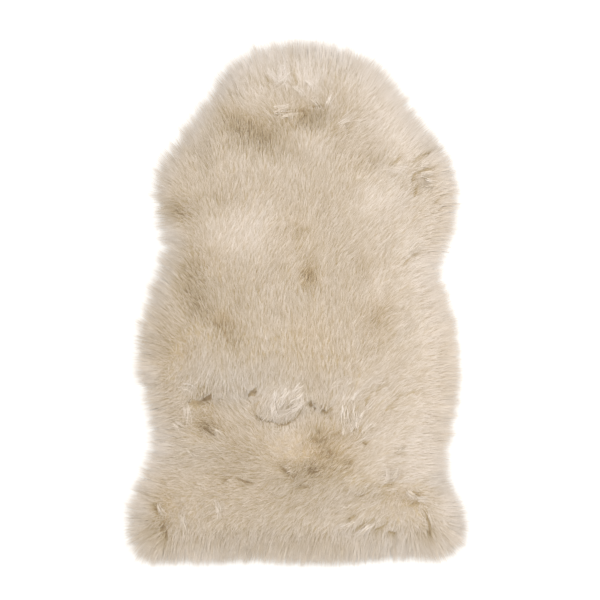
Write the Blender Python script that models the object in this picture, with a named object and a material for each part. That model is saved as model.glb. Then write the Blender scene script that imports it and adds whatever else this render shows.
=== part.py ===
"""A sheepskin rug lying flat, wool side up.

The pelt is one piece: a tanned hide with its own fleece. Here it is one solid, a lumpy slab of
wool with a flat skin side, whose rim is drawn out into locks that lean over the hide's edge and
down to the floor.

X runs across the rug, Y from the tail to the neck and Z up. The skin side lies at Z = 0, and the
origin is under the middle of the rug.
"""

import math
from collections import namedtuple

import bmesh
import bpy
from mathutils import Vector, noise

# ---------------------------------------------------------------- driving sizes, in metres
PILE = 0.044  # height of the lying fleece over the floor, away from the rim
LOCK_REACH = 0.022  # how far the locks stand out from the body of the fleece
HIDE_INSET = 0.030  # the hide's edge, and so the flat underside, lies this far inside the lock tips
WOOL_COLOR = (0.62, 0.50, 0.36)
WOOL_ROUGHNESS = 0.9

# The pelt's outline through the tips of its wool, from the neck round by the right side.
Outline = namedtuple("Outline", "place x y")
OUTLINE = (
    Outline("neck", -0.010, 0.461),
    Outline("neck, right of the middle", 0.038, 0.456),
    Outline("dip beside the neck", 0.070, 0.446),
    Outline("right cheek", 0.108, 0.439),
    Outline("right cheek, outer side", 0.150, 0.409),
    Outline("right of the head", 0.188, 0.362),
    Outline("behind the right cheek", 0.206, 0.326),
    Outline("above the right shoulder", 0.246, 0.285),
    Outline("right shoulder", 0.274, 0.241),
    Outline("right shoulder, widest", 0.282, 0.204),
    Outline("right elbow", 0.278, 0.140),
    Outline("below the right elbow", 0.259, 0.088),
    Outline("right waist", 0.244, 0.056),
    Outline("below the right waist", 0.260, 0.012),
    Outline("right flank", 0.277, -0.040),
    Outline("right flank, widest", 0.285, -0.140),
    Outline("right thigh", 0.271, -0.226),
    Outline("above the right hock", 0.261, -0.305),
    Outline("right hock", 0.284, -0.355),
    Outline("right hind corner", 0.301, -0.405),
    Outline("right hind corner, lower side", 0.281, -0.440),
    Outline("right end of the tail edge", 0.232, -0.451),
    Outline("tail edge, right", 0.180, -0.451),
    Outline("tail edge, right of the middle", 0.110, -0.459),
    Outline("tail", 0.036, -0.462),
    Outline("tail edge, left of the middle", -0.060, -0.457),
    Outline("tail edge, left", -0.160, -0.457),
    Outline("left end of the tail edge", -0.248, -0.457),
    Outline("left hind corner, lower side", -0.287, -0.445),
    Outline("left hind corner", -0.301, -0.412),
    Outline("left hock", -0.288, -0.350),
    Outline("above the left hock", -0.267, -0.292),
    Outline("left thigh, narrowest", -0.252, -0.250),
    Outline("left thigh", -0.264, -0.196),
    Outline("left flank, widest", -0.284, -0.092),
    Outline("left flank", -0.270, -0.014),
    Outline("below the left waist", -0.245, 0.054),
    Outline("left waist", -0.233, 0.100),
    Outline("left elbow", -0.248, 0.150),
    Outline("left shoulder, widest", -0.259, 0.190),
    Outline("left shoulder", -0.244, 0.250),
    Outline("above the left shoulder", -0.200, 0.310),
    Outline("left of the head", -0.158, 0.362),
    Outline("left cheek, outer side", -0.134, 0.405),
    Outline("left cheek", -0.094, 0.437),
    Outline("neck, left of the middle", -0.052, 0.454),
)

# Swells and hollows of the fleece. Each is a soft mound with its middle at x, y, its half-length
# along a line turned by `turn` degrees from X, its half-width across that line, and its height.
Swell = namedtuple("Swell", "place x y half_length half_width turn height")
SWELLS = (
    Swell("tuft at the neck", -0.028, 0.398, 0.050, 0.030, 70, 0.006),
    Swell("fan right of the neck", 0.110, 0.385, 0.085, 0.045, -25, 0.005),
    Swell("hollow left of the head", -0.078, 0.308, 0.070, 0.034, -28, -0.008),
    Swell("parting on the nape", 0.020, 0.328, 0.040, 0.022, 10, -0.010),
    Swell("ridge right of the nape", 0.088, 0.318, 0.055, 0.018, 22, 0.005),
    Swell("hollow inside the right shoulder", 0.126, 0.262, 0.045, 0.040, 0, -0.006),
    Swell("ridge across the shoulders", -0.070, 0.246, 0.110, 0.026, -2, 0.006),
    Swell("pit in the right shoulder", 0.209, 0.216, 0.024, 0.024, 0, -0.007),
    Swell("hollow behind the left shoulder", -0.200, 0.160, 0.050, 0.026, 30, -0.007),
    Swell("swell over the left ribs", -0.096, 0.122, 0.095, 0.055, -35, 0.007),
    Swell("swell over the right ribs", 0.145, 0.165, 0.065, 0.045, 80, 0.005),
    Swell("swell at the right waist", 0.200, 0.078, 0.055, 0.042, 20, 0.005),
    Swell("pit in the middle of the back", 0.026, 0.052, 0.024, 0.022, 0, -0.007),
    Swell("hollow of the left flank", -0.190, 0.030, 0.095, 0.060, -50, -0.008),
    Swell("hollow of the right flank", 0.150, -0.020, 0.050, 0.045, 0, -0.006),
    Swell("long swell of the right flank", 0.222, -0.090, 0.110, 0.038, 85, 0.004),
    Swell("overhang above the parting", -0.028, -0.160, 0.070, 0.032, 8, 0.008),
    Swell("overhang above the parting, left", -0.170, -0.138, 0.070, 0.024, 6, 0.006),
    Swell("parting across the loin, left", -0.160, -0.186, 0.075, 0.017, 8, -0.009),
    Swell("parting across the loin, middle", 0.000, -0.206, 0.085, 0.016, -4, -0.009),
    Swell("hollow of the rump", 0.048, -0.262, 0.075, 0.055, 10, -0.009),
    Swell("swell of the right thigh", 0.185, -0.258, 0.070, 0.055, 70, 0.006),
    Swell("swell of the left thigh", -0.225, -0.205, 0.050, 0.035, 60, 0.004),
    Swell("hollow of the left thigh", -0.120, -0.310, 0.090, 0.045, 0, -0.005),
    Swell("hollow above the right hind corner", 0.186, -0.350, 0.050, 0.024, -10, -0.008),
    Swell("fold into the right hind corner", 0.236, -0.405, 0.050, 0.018, -55, -0.007),
    Swell("fold into the left hind corner", -0.246, -0.398, 0.050, 0.020, 65, -0.007),
    Swell("swell along the tail edge", -0.090, -0.392, 0.150, 0.030, 0, 0.004),
)

SWELL_FADE = 1.5  # the larger this is, the more of a swell is gone at its half-length

# Ever finer lumps all over, where the wool lies in clumps: their width, and their height in the
# units of a noise that mostly stays under half of it.
Lump = namedtuple("Lump", "width height")
LUMPS = (
    Lump(0.090, 0.0085),
    Lump(0.040, 0.0075),
)

# The rim, ring by ring, from the hide's edge up to where the fleece's own top begins: the inset
# from the outline through the lock tips, and the height.
Ring = namedtuple("Ring", "place inset height")
RIM = (
    Ring("hide's edge", HIDE_INSET, 0.000),
    Ring("under the lower locks", LOCK_REACH + 0.002, 0.002),
    Ring("between the rows of locks", LOCK_REACH, 0.015),
    Ring("over the upper locks", LOCK_REACH + 0.004, 0.028),
    Ring("shoulder of the fleece", LOCK_REACH + 0.016, 0.037),
)
CROWN_RINGS = 15  # rings from the shoulder in to the spine
SPINE_STOP = 0.90  # the last ring stops at this share of the way to the spine
SPINE_TAIL, SPINE_NECK = -0.270, 0.260  # the ends of the spine line, on Y
SHOULDER_WIDTH = 0.060  # the fleece reaches its full height this far inside the lock tips

# The two rows of locks round the rim: the row of faces they grow from, how far they reach, how
# much lower than its root a tip lies, and how far it leans along the rim.
LOCKS_ROUND = 144
LockRow = namedtuple("LockRow", "name rim_row reach drop lean")
LOCK_ROWS = (
    LockRow("lower", 1, 0.027, 0.0065, -0.003),
    LockRow("upper", 2, 0.024, 0.0120, 0.007),
)
LOCK_WANDER = 0.28  # a lock's sides wander along the rim by up to this share of its width
WANDER_STEP = 0.7  # how unlike that wandering is from one lock to the next
LOCK_SPREAD = 0.38  # the shortest locks are shorter than the longest by this share
LOCK_SWAY = 0.006  # locks lean to either side by up to this
LOCK_WAIST = 0.70  # a lock's width half-way, as a share of its width at the root
FIRST_HALF_BEND = 0.3  # the share of its drop and lean that a lock takes in its first half
LEAST_CLEARANCE = 0.0008  # no lock comes nearer to the floor than this
UNEVEN_OVER = 0.0167  # locks this far apart differ wholly in their length and sway
UNEVEN_GAIN = 1.8  # brings the noise they are read from up to the whole range from -1 to 1
LENGTH_NOISE, SWAY_NOISE = 0.0167, 0.0334  # heights in that noise, apart so that they don't match

SPAN_STEPS = 16  # samples between two outline points


# ---------------------------------------------------------------- outline
def spline_point(before, start, end, after, t):
    """A point between start and end on a Catmull-Rom spline."""
    return 0.5 * (
        2 * start
        + (end - before) * t
        + (2 * before - 5 * start + 4 * end - after) * t**2
        + (3 * start - before - 3 * end + after) * t**3
    )


def smooth_outline():
    """The outline as a closed, finely stepped line through every point of the table."""
    knots = [Vector((row.x, row.y)) for row in OUTLINE]
    count = len(knots)
    line = []
    for i in range(count):
        four = [knots[(i + k) % count] for k in (-1, 0, 1, 2)]
        line += [spline_point(*four, step / SPAN_STEPS) for step in range(SPAN_STEPS)]
    return line


def lock_sides(line, count):
    """Points on a closed line where one lock ends and the next begins, some near and some far apart."""
    closed = line + line[:1]
    reached = [0.0]
    for a, b in zip(closed, closed[1:]):
        reached.append(reached[-1] + (b - a).length)
    points, i = [], 0
    for k in range(count):
        wander = LOCK_WANDER * noise.noise(Vector((k * WANDER_STEP, 0, 0))) if k else 0
        wanted = reached[-1] * (k + wander) / count
        while reached[i + 1] < wanted:
            i += 1
        share = (wanted - reached[i]) / (reached[i + 1] - reached[i])
        points.append(closed[i].lerp(closed[i + 1], share))
    return points


def outward_normals(points):
    """The direction out of the rug at each outline point. The outline runs clockwise from above."""
    normals = []
    for i in range(len(points)):
        along = points[(i + 1) % len(points)] - points[i - 1]
        normals.append(Vector((-along.y, along.x)).normalized())
    return normals


# ---------------------------------------------------------------- relief of the fleece
def swell_height(x, y):
    """How much the hand-placed swells and hollows raise the wool here."""
    total = 0.0
    for swell in SWELLS:
        turn = math.radians(swell.turn)
        dx, dy = x - swell.x, y - swell.y
        along = (dx * math.cos(turn) + dy * math.sin(turn)) / swell.half_length
        across = (dy * math.cos(turn) - dx * math.sin(turn)) / swell.half_width
        total += swell.height * math.exp(-SWELL_FADE * (along**2 + across**2))
    return total


def lump_height(x, y):
    """How much the finer lumps raise the wool here."""
    total = 0.0
    for lump in LUMPS:
        total += lump.height * noise.noise(Vector((x, y, 0)) / lump.width)
    return total


def fleece_height(x, y, inset):
    """The height of the fleece's top, at this distance inside the lock tips."""
    shoulder = RIM[-1]
    rise = min((inset - shoulder.inset) / (SHOULDER_WIDTH - shoulder.inset), 1.0)
    dome = shoulder.height + (PILE - shoulder.height) * math.sin(rise * math.pi / 2)
    return dome + swell_height(x, y) + lump_height(x, y)


# ---------------------------------------------------------------- body of the fleece
def spine_point(point):
    """The point of the spine that a ring of the crown closes in on from here."""
    return Vector((0, min(max(point.y, SPINE_TAIL), SPINE_NECK)))


def slab_point(point, normal, row):
    """Where the loft's given row lies, in from one outline point."""
    if row < len(RIM):
        ring = RIM[row]
        flat = point - normal * ring.inset
        share = ring.height / PILE
        return Vector((*flat, ring.height + share * lump_height(flat.x, flat.y)))
    shoulder = point - normal * RIM[-1].inset
    share = SPINE_STOP * (row - len(RIM) + 1) / CROWN_RINGS
    flat = shoulder.lerp(spine_point(point), share)
    return Vector((*flat, fleece_height(flat.x, flat.y, (flat - point).length)))


def loft_slab(mesh, points, normals):
    """Wraps a grid round the rug: columns go round its rim, rows from the hide's edge to the spine."""
    rows = len(RIM) + CROWN_RINGS - 1
    bmesh.ops.create_grid(mesh, x_segments=LOCKS_ROUND, y_segments=rows, size=0.5)
    ring_faces = {}
    for face in mesh.faces:
        middle = face.calc_center_median()
        ring_faces.setdefault(int((middle.y + 0.5) * rows), []).append(face)
    for vert in mesh.verts:
        column = round((vert.co.x + 0.5) * LOCKS_ROUND) % LOCKS_ROUND
        row = round((vert.co.y + 0.5) * rows)
        vert.co = slab_point(points[column], normals[column], row)
    bmesh.ops.remove_doubles(mesh, verts=mesh.verts, dist=1e-6)
    return ring_faces


def close_slab(mesh):
    """Fills the flat underside and the narrow slit that the last ring leaves along the spine."""
    open_edges = [edge for edge in mesh.edges if edge.is_boundary]
    filled = bmesh.ops.holes_fill(mesh, edges=open_edges, sides=0)
    bmesh.ops.triangulate(mesh, faces=filled["faces"])


# ---------------------------------------------------------------- locks round the rim
def uneven(middle, height):
    """A random number from -1 to 1 that belongs to this lock."""
    place = Vector((middle.x, middle.y, middle.z + height)) / UNEVEN_OVER
    return min(max(UNEVEN_GAIN * noise.noise(place), -1), 1)


def shifted(face, shift, scale):
    """Moves an extruded face and draws its corners together."""
    middle = face.calc_center_median()
    for vert in face.verts:
        vert.co = middle + (vert.co - middle) * scale + shift
        vert.co.z = max(vert.co.z, LEAST_CLEARANCE)


def draw_out_lock(mesh, face, row):
    """Draws one face of the rim out into a four-sided lock that bends down and ends in a point."""
    middle = face.calc_center_median()
    outward = Vector((face.normal.x, face.normal.y, 0)).normalized()
    along = outward.cross(Vector((0, 0, 1)))
    reach = row.reach * (1 - LOCK_SPREAD * (1 + uneven(middle, LENGTH_NOISE)) / 2)
    lean = row.lean + LOCK_SWAY * uneven(middle, SWAY_NOISE)
    bend = along * lean - Vector((0, 0, row.drop))
    body = bmesh.ops.extrude_discrete_faces(mesh, faces=[face])["faces"][0]
    shifted(body, outward * reach / 2 + bend * FIRST_HALF_BEND, LOCK_WAIST)
    tip = bmesh.ops.poke(mesh, faces=[body])["verts"][0]
    tip.co += outward * reach / 2 + bend * (1 - FIRST_HALF_BEND)


# ---------------------------------------------------------------- the rug
def wool_material():
    material = bpy.data.materials.new("wool")
    material.use_nodes = True
    surface = material.node_tree.nodes["Principled BSDF"]
    surface.inputs["Base Color"].default_value = (*WOOL_COLOR, 1)
    surface.inputs["Roughness"].default_value = WOOL_ROUGHNESS
    surface.inputs["Metallic"].default_value = 0
    return material


def centre_over_origin(mesh):
    """Slides the rug along the floor until the origin is under the middle of its box."""
    for axis in (0, 1):
        places = [vert.co[axis] for vert in mesh.verts]
        middle = (min(places) + max(places)) / 2
        for vert in mesh.verts:
            vert.co[axis] -= middle


def build_sheepskin(collection):
    points = lock_sides(smooth_outline(), LOCKS_ROUND)
    mesh = bmesh.new()
    ring_faces = loft_slab(mesh, points, outward_normals(points))
    close_slab(mesh)
    bmesh.ops.recalc_face_normals(mesh, faces=mesh.faces)
    for row in LOCK_ROWS:
        for face in ring_faces[row.rim_row]:
            draw_out_lock(mesh, face, row)
    centre_over_origin(mesh)
    data = bpy.data.meshes.new("sheepskin")
    mesh.to_mesh(data)
    mesh.free()
    data.shade_smooth()
    data.materials.append(wool_material())
    rug = bpy.data.objects.new("sheepskin", data)
    collection.objects.link(rug)
    return rug


def main():
    for old in list(bpy.data.objects):
        bpy.data.objects.remove(old)
    collection = bpy.data.collections.new("sheepskin_rug")
    bpy.context.scene.collection.children.link(collection)
    build_sheepskin(collection)


main()
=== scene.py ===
# %% [markdown]
# # A sheepskin rug, wool side up
#
# The rug is one pelt: a thin tanned hide with its own fleece still growing from it. A photograph of
# one shows almost nothing but wool, so nearly all the work here is in the wool: where it grows, which
# way it lies, how it gathers into locks, and how its colour goes from warm brown at the skin to pale
# beige at the tips.
#
# The imported model gives the frame: one solid, `sheepskin`, at its real size, on the floor at Z = 0,
# with its neck towards +Y. Its box is kept.

# %% Load the frame
import math
from collections import namedtuple

import bmesh
import bpy
import numpy as np
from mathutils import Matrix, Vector
from mathutils.bvhtree import BVHTree
from mathutils.kdtree import KDTree


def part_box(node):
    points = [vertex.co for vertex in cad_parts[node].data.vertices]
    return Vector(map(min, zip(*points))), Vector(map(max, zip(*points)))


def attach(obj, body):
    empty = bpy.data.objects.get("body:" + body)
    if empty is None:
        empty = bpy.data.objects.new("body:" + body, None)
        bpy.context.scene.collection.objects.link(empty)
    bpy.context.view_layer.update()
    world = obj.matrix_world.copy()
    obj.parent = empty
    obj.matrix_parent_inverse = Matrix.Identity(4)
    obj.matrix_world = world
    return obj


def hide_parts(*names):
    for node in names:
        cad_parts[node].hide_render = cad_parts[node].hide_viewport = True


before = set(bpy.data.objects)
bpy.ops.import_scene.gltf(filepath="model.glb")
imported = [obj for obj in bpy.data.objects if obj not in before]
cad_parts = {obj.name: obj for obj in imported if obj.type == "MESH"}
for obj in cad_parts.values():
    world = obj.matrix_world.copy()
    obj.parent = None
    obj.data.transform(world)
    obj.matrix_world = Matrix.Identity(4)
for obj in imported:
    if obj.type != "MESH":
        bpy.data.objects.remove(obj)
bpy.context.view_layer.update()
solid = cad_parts["sheepskin"]
low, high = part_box("sheepskin")
print("solid:", [round(high[i] - low[i], 4) for i in range(3)], "m")

# %% [markdown]
# ## Camera, light and floor
#
# The photograph looks straight down on the rug from well above, so the lens is long. One pixel of its
# 600 is 1.76 mm of rug, and its middle falls a few millimetres off the rug's own.
#
# The light is a pale room's. An even sky from all round does nearly half of it. A broad lamp high above,
# a little towards the neck, gives the locks a lit and a shaded side, and a weak one far to the right
# makes that side a touch paler.

# %% The photograph's view
PICTURE_PIXELS = 600
METRES_PER_PIXEL = 0.00176
EYE_HEIGHT = 3.2
VIEW_MIDDLE = (0.006, 0.004)  # the point of the rug in the middle of the picture
SENSOR_MM = 36

camera_data = bpy.data.cameras.new("camera")
camera_data.sensor_width = SENSOR_MM
wool_distance = EYE_HEIGHT - high.z
camera_data.lens = SENSOR_MM * wool_distance / (PICTURE_PIXELS * METRES_PER_PIXEL)
camera = bpy.data.objects.new("camera", camera_data)
camera.location = (*VIEW_MIDDLE, EYE_HEIGHT)
bpy.context.scene.collection.objects.link(camera)
bpy.context.scene.camera = camera
bpy.context.scene.view_settings.view_transform = "Standard"
print("lens:", round(camera_data.lens, 1), "mm")

# %% Lamps and sky
Lamp = namedtuple("Lamp", "name place size power")
LAMPS = (
    Lamp("lamp_above", (-0.1, 0.4, 4.2), 2.4, 142),
    Lamp("lamp_right", (2.4, 0.9, 2.2), 1.6, 12),
)
SKY_COLOR = (1.0, 0.99, 0.98, 1)
SKY_STRENGTH = 0.58

for lamp in LAMPS:
    light = bpy.data.lights.new(lamp.name, "AREA")
    light.size = lamp.size
    light.energy = lamp.power
    holder = bpy.data.objects.new(lamp.name, light)
    holder.location = lamp.place
    holder.rotation_euler = (-Vector(lamp.place)).to_track_quat("-Z", "Y").to_euler()
    bpy.context.scene.collection.objects.link(holder)
    print(lamp.name, "stands", round(Vector(lamp.place).length, 2), "m from the rug's middle")

world = bpy.data.worlds.new("sky")
world.use_nodes = True
world.node_tree.nodes["Background"].inputs["Color"].default_value = SKY_COLOR
world.node_tree.nodes["Background"].inputs["Strength"].default_value = SKY_STRENGTH
bpy.context.scene.world = world

# %% Floor
FLOOR_SIDE = 30.0
FLOOR_COLOR = (0.95, 0.935, 0.91, 1)
FLOOR_ROUGHNESS = 0.9

bpy.ops.mesh.primitive_plane_add(size=FLOOR_SIDE)
floor = bpy.context.object
floor.name = "floor"
floor_paint = bpy.data.materials.new("floor_paint")
floor_paint.use_nodes = True
floor_shader = floor_paint.node_tree.nodes["Principled BSDF"]
floor_shader.inputs["Base Color"].default_value = FLOOR_COLOR
floor_shader.inputs["Roughness"].default_value = FLOOR_ROUGHNESS
floor.data.materials.append(floor_paint)
print("floor:", FLOOR_SIDE, "m square")

# %% [markdown]
# ## Writing node trees as sums
#
# Both the materials and the wool-growing tree are long sums and products. Linking a Math node for
# each by hand hides what is meant, so a small class wraps a socket and turns Python's operators into
# nodes. A number or a socket may stand on either side. Wherever a vector takes part, the sum goes
# through a Vector Math node, and a vector times a number through its Scale.


# %% A socket that can be added and multiplied
class Wire:
    def __init__(self, tree, socket):
        self.tree, self.socket = tree, socket
        self.is_vector = socket.type == "VECTOR"

    def __add__(self, other):
        return self.tree.sum("ADD", self, other)

    def __sub__(self, other):
        return self.tree.sum("SUBTRACT", self, other)

    def __rsub__(self, other):
        return self.tree.sum("SUBTRACT", other, self)

    def __mul__(self, other):
        return self.tree.product(self, other)

    def __truediv__(self, other):
        return self.tree.sum("DIVIDE", self, other)

    def __pow__(self, other):
        return self.tree.math("POWER", self, other)

    __radd__, __rmul__ = __add__, __mul__


# %% A tree that makes nodes from one method
MATH_SOCKETS = ("Value", "Value_001", "Value_002")
VECTOR_SOCKETS = ("Vector", "Vector_001", "Vector_002")


class Tree:
    """A node tree. `node` makes any node: its settings are set first, then its sockets."""

    def __init__(self, nodes_and_links):
        self.tree = nodes_and_links

    def node(self, kind, settings=(), **sockets):
        made = self.tree.nodes.new(kind)
        for name, value in dict(settings).items():
            if name == "stops":
                self.set_stops(made.color_ramp, value)
            else:
                setattr(made, name, value)
        for identifier, value in sockets.items():
            self.feed(self.socket(made, identifier), value)
        return made

    def set_stops(self, ramp, stops):
        while len(ramp.elements) < len(stops):
            ramp.elements.new(1.0)
        for element, stop in zip(ramp.elements, stops):
            element.position, element.color = stop

    def socket(self, node, name):
        """The node's shown input of this name or identifier, with _ for a space."""
        wanted = (name, name.replace("_", " "))
        found = [s for s in node.inputs if s.identifier in wanted or s.name in wanted]
        return next((s for s in found if s.enabled), found[0])

    def feed(self, socket, value):
        if isinstance(value, Wire):
            self.tree.links.new(value.socket, socket)
        else:
            socket.default_value = value

    def out(self, node, name=None):
        shown = [s for s in node.outputs if s.enabled]
        return Wire(self, next(s for s in shown if name in (None, s.name)))

    def wire(self, kind, settings=(), output=None, **sockets):
        return self.out(self.node(kind, settings, **sockets), output)

    def math(self, operation, *values):
        sockets = dict(zip(MATH_SOCKETS, values))
        return self.wire("ShaderNodeMath", {"operation": operation}, **sockets)

    def vector(self, operation, *values, output=None, **sockets):
        sockets.update(zip(VECTOR_SOCKETS, values))
        return self.wire("ShaderNodeVectorMath", {"operation": operation}, output, **sockets)

    def sum(self, operation, first, second):
        vectors = [getattr(value, "is_vector", False) for value in (first, second)]
        return (self.vector if any(vectors) else self.math)(operation, first, second)

    def product(self, first, second):
        vectors = [getattr(value, "is_vector", False) for value in (first, second)]
        if vectors == [True, False]:
            return self.vector("SCALE", first, Scale=second)
        if vectors == [False, True]:
            return self.vector("SCALE", second, Scale=first)
        return (self.vector if all(vectors) else self.math)("MULTIPLY", first, second)

    def keep(self, geometry, **fields):
        """The geometry with these fields kept on it, and each field as it was there."""
        keeper = self.tree.nodes.new("GeometryNodeCaptureAttribute")
        self.feed(keeper.inputs["Geometry"], geometry)
        for name, field in fields.items():
            keeper.capture_items.new("VECTOR" if field.is_vector else "FLOAT", name)
            self.feed(keeper.inputs[name], field)
        return [self.out(keeper, name) for name in ("Geometry", *fields)]


# %% [markdown]
# ## The underwool
#
# Under the long locks a fleece is a dense felt that follows the skin. It could be a lump modelled for
# itself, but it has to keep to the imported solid, so it is made by shrinking that. The solid is turned
# into a volume whose density rises with the depth below its surface, and a new surface is drawn where
# that depth is reached. What is thinner than twice the depth, here the solid's locks at the rim, is
# left out by itself. The bottom rises by the same depth, so it is set down again on the hide.


# %% Helpers that turn a node tree into a plain mesh
def geometry_tree(name, **inputs):
    """A new geometry tree, and its inputs as wires: the geometry first, then each named one."""
    group = bpy.data.node_groups.new(name, "GeometryNodeTree")
    group.interface.new_socket("Geometry", in_out="OUTPUT", socket_type="NodeSocketGeometry")
    for label, kind in {"Geometry": "Geometry", **inputs}.items():
        group.interface.new_socket(label, in_out="INPUT", socket_type="NodeSocket" + kind)
    tree = Tree(group)
    entry = group.nodes.new("NodeGroupInput")
    return tree, [Wire(tree, entry.outputs[label]) for label in ("Geometry", *inputs)]


def plain_mesh(name, base, group, **inputs):
    """A new object with the mesh that the tree makes from the base object's."""
    grower = base.modifiers.new(name, "NODES")
    grower.node_group = group
    identifiers = {item.name: item.identifier for item in group.interface.items_tree}
    for label, value in inputs.items():
        grower[identifiers[label]] = type(grower[identifiers[label]])(value)
    graph = bpy.context.evaluated_depsgraph_get()
    mesh = bpy.data.meshes.new_from_object(base.evaluated_get(graph))
    base.modifiers.remove(grower)
    mesh.name = name
    piece = bpy.data.objects.new(name, mesh)
    bpy.context.scene.collection.objects.link(piece)
    return piece


# %% Shrink the solid
SAME_POINT = 1e-6  # the solid's triangles are loose: corners nearer than this are one point
UNDERWOOL_DEPTH = 0.0065  # how far the felt lies below the solid's surface
VOLUME_BAND = 0.016  # the depth over which the volume's density rises from 0 to 1
VOLUME_STEP = 0.0045
UNDERWOOL_STEP = 0.0084

shrink, (surface, band, threshold, fine_step, felt_step) = geometry_tree(
    "shrink", band="Float", threshold="Float", fine_step="Float", felt_step="Float"
)
volume = shrink.wire(
    "GeometryNodeMeshToVolume",
    {"resolution_mode": "VOXEL_SIZE"},
    Mesh=shrink.wire("GeometryNodeMergeByDistance", Geometry=surface, Distance=SAME_POINT),
    Voxel_Size=fine_step,
    Interior_Band_Width=band,
)
felt = shrink.wire(
    "GeometryNodeVolumeToMesh",
    {"resolution_mode": "VOXEL_SIZE"},
    Volume=volume,
    Voxel_Size=felt_step,
    Threshold=threshold,
)
shrink.node("NodeGroupOutput", Geometry=felt)

solid_copy = bpy.data.objects.new("solid_copy", solid.data.copy())
bpy.context.scene.collection.objects.link(solid_copy)
underwool = plain_mesh(
    "underwool",
    solid_copy,
    shrink.tree,
    band=VOLUME_BAND,
    threshold=UNDERWOOL_DEPTH / VOLUME_BAND,
    fine_step=VOLUME_STEP,
    felt_step=UNDERWOOL_STEP,
)
bpy.data.objects.remove(solid_copy)
print("underwool:", len(underwool.data.polygons), "faces")

# %% Set its bottom down on the hide
UNDERWOOL_FOOT = 0.0015
FOOT_REACH = 0.018  # the height over which the bottom is drawn down


def point_vectors(values, name, count):
    """The vectors that these values hold under this name, one row for each."""
    vectors = np.empty(count * 3, np.float32)
    values.foreach_get(name, vectors)
    return vectors.reshape(-1, 3)


def vertex_places(mesh):
    return point_vectors(mesh.vertices, "co", len(mesh.vertices)).astype(float)


places = vertex_places(underwool.data)
bottom = places[:, 2].min()
foot_share = np.clip(1 - (places[:, 2] - bottom) / FOOT_REACH, 0, 1)
places[:, 2] -= foot_share * (bottom - UNDERWOOL_FOOT)
print("its places: from", places.min(0).round(3), "to", places.max(0).round(3))

# %% [markdown]
# ## Where the rug ends
#
# Wool at the rim points out over the hide's edge and reaches the rug's outline, so each root has to
# know how far away the outline is, and in which direction. The solid's silhouette is felt out by rays
# from above, on a grid, and smoothed over its locks. The grid's cells that are half covered are the
# outline, and a search tree finds the nearest of them for any point. The way out is the way in which
# the cover falls off, once it is smoothed much more, so that it doesn't turn from lock to lock.
#
# The underwool's own rim is then drawn out that way. Otherwise one would see the floor between the
# strands of the rim.

# %% Feel out the silhouette
GRID_STEP = 0.003
GRID_MARGIN = 0.03
ABOVE = 1.0  # the height from which the rays set out

merged = bmesh.new()
merged.from_mesh(solid.data)
bmesh.ops.remove_doubles(merged, verts=merged.verts, dist=SAME_POINT)
solid_faces = BVHTree.FromBMesh(merged)
merged.free()
grid_x = np.arange(low.x - GRID_MARGIN, high.x + GRID_MARGIN, GRID_STEP)
grid_y = np.arange(low.y - GRID_MARGIN, high.y + GRID_MARGIN, GRID_STEP)


def top_of_solid(x, y):
    """The highest point of the solid at this place, or None beside it."""
    return solid_faces.ray_cast((x, y, ABOVE), (0, 0, -1))[0]


covered = np.array([[top_of_solid(x, y) is not None for y in grid_y] for x in grid_x], float)
print("silhouette:", int(covered.sum()), "of", covered.size, "cells")

# %% Find the outline
OUTLINE_SMOOTHING = 3  # times that each cell is averaged with its neighbours
HALF_COVERED = (0.38, 0.62)
MM = 1000  # in a metre, for what is printed


def smoothed(cells, times):
    for _ in range(times):
        for axis in (0, 1):
            cells = (np.roll(cells, 1, axis) + 2 * cells + np.roll(cells, -1, axis)) / 4
    return cells


covered = smoothed(covered, OUTLINE_SMOOTHING)
rows, columns = np.nonzero((covered > HALF_COVERED[0]) & (covered < HALF_COVERED[1]))
outline = KDTree(len(rows))
for index, (row, column) in enumerate(zip(rows, columns)):
    outline.insert((grid_x[row], grid_y[column], 0), index)
outline.balance()
edge_distance = np.array([outline.find((x, y, 0))[2] for x, y, z in places])
print("outline:", len(rows), "cells; underwool ends", round(edge_distance.min() * MM), "mm inside it")

# %% Find the way out
OUTWARD_SMOOTHING = 30  # times that the cover is smoothed before its fall is taken


def on_grid(cells, spots):
    """The value of the cell that each spot is in."""
    row = ((spots[:, 0] - grid_x[0]) / GRID_STEP).round().astype(int).clip(0, len(grid_x) - 1)
    column = ((spots[:, 1] - grid_y[0]) / GRID_STEP).round().astype(int).clip(0, len(grid_y) - 1)
    return cells[row, column]


falling = [-on_grid(slope, places) for slope in np.gradient(smoothed(covered, OUTWARD_SMOOTHING))]
out_heading = np.arctan2(falling[1], falling[0])
print("the way out is known at", len(out_heading), "places")

# %% Draw the underwool's rim out towards it
RIM_WIDTH = 0.026  # how near to the underwool's edge the rim begins
RIM_DRAWN = 0.008

rim_share = np.clip(1 - (edge_distance - edge_distance.min()) / RIM_WIDTH, 0, 1)
places[:, 0] += np.cos(out_heading) * RIM_DRAWN * rim_share
places[:, 1] += np.sin(out_heading) * RIM_DRAWN * rim_share
edge_distance = edge_distance - RIM_DRAWN * rim_share
print("rim:", int((rim_share > 0).sum()), "of", len(places), "places drawn out")

# %% [markdown]
# ## How the wool lies
#
# On a live sheep the wool parts along the back and sweeps down and back. On a rug it has been combed,
# slept on and folded, so its lie changes from hand to hand. The table gives the way the tips point at
# places all over the rug, in degrees from +X towards +Y. Between the rows the directions are averaged
# with weights that fall off with distance. Where neighbouring rows disagree, the average gets short:
# there the wool has no way to lie, so it stands up, and the rug shows a parting or a whorl.
#
# A second average, of the doubled angles, gives the line along which the wool lies whichever way it
# points. Where rows point against each other along one line, each lock then chooses one of its ends.
#
# One thing is sharper than that. Below the middle the hide once had a fold: the wool above it hangs
# down over the wool below it. So a root hardly listens to rows on the other side of that fold.

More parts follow.
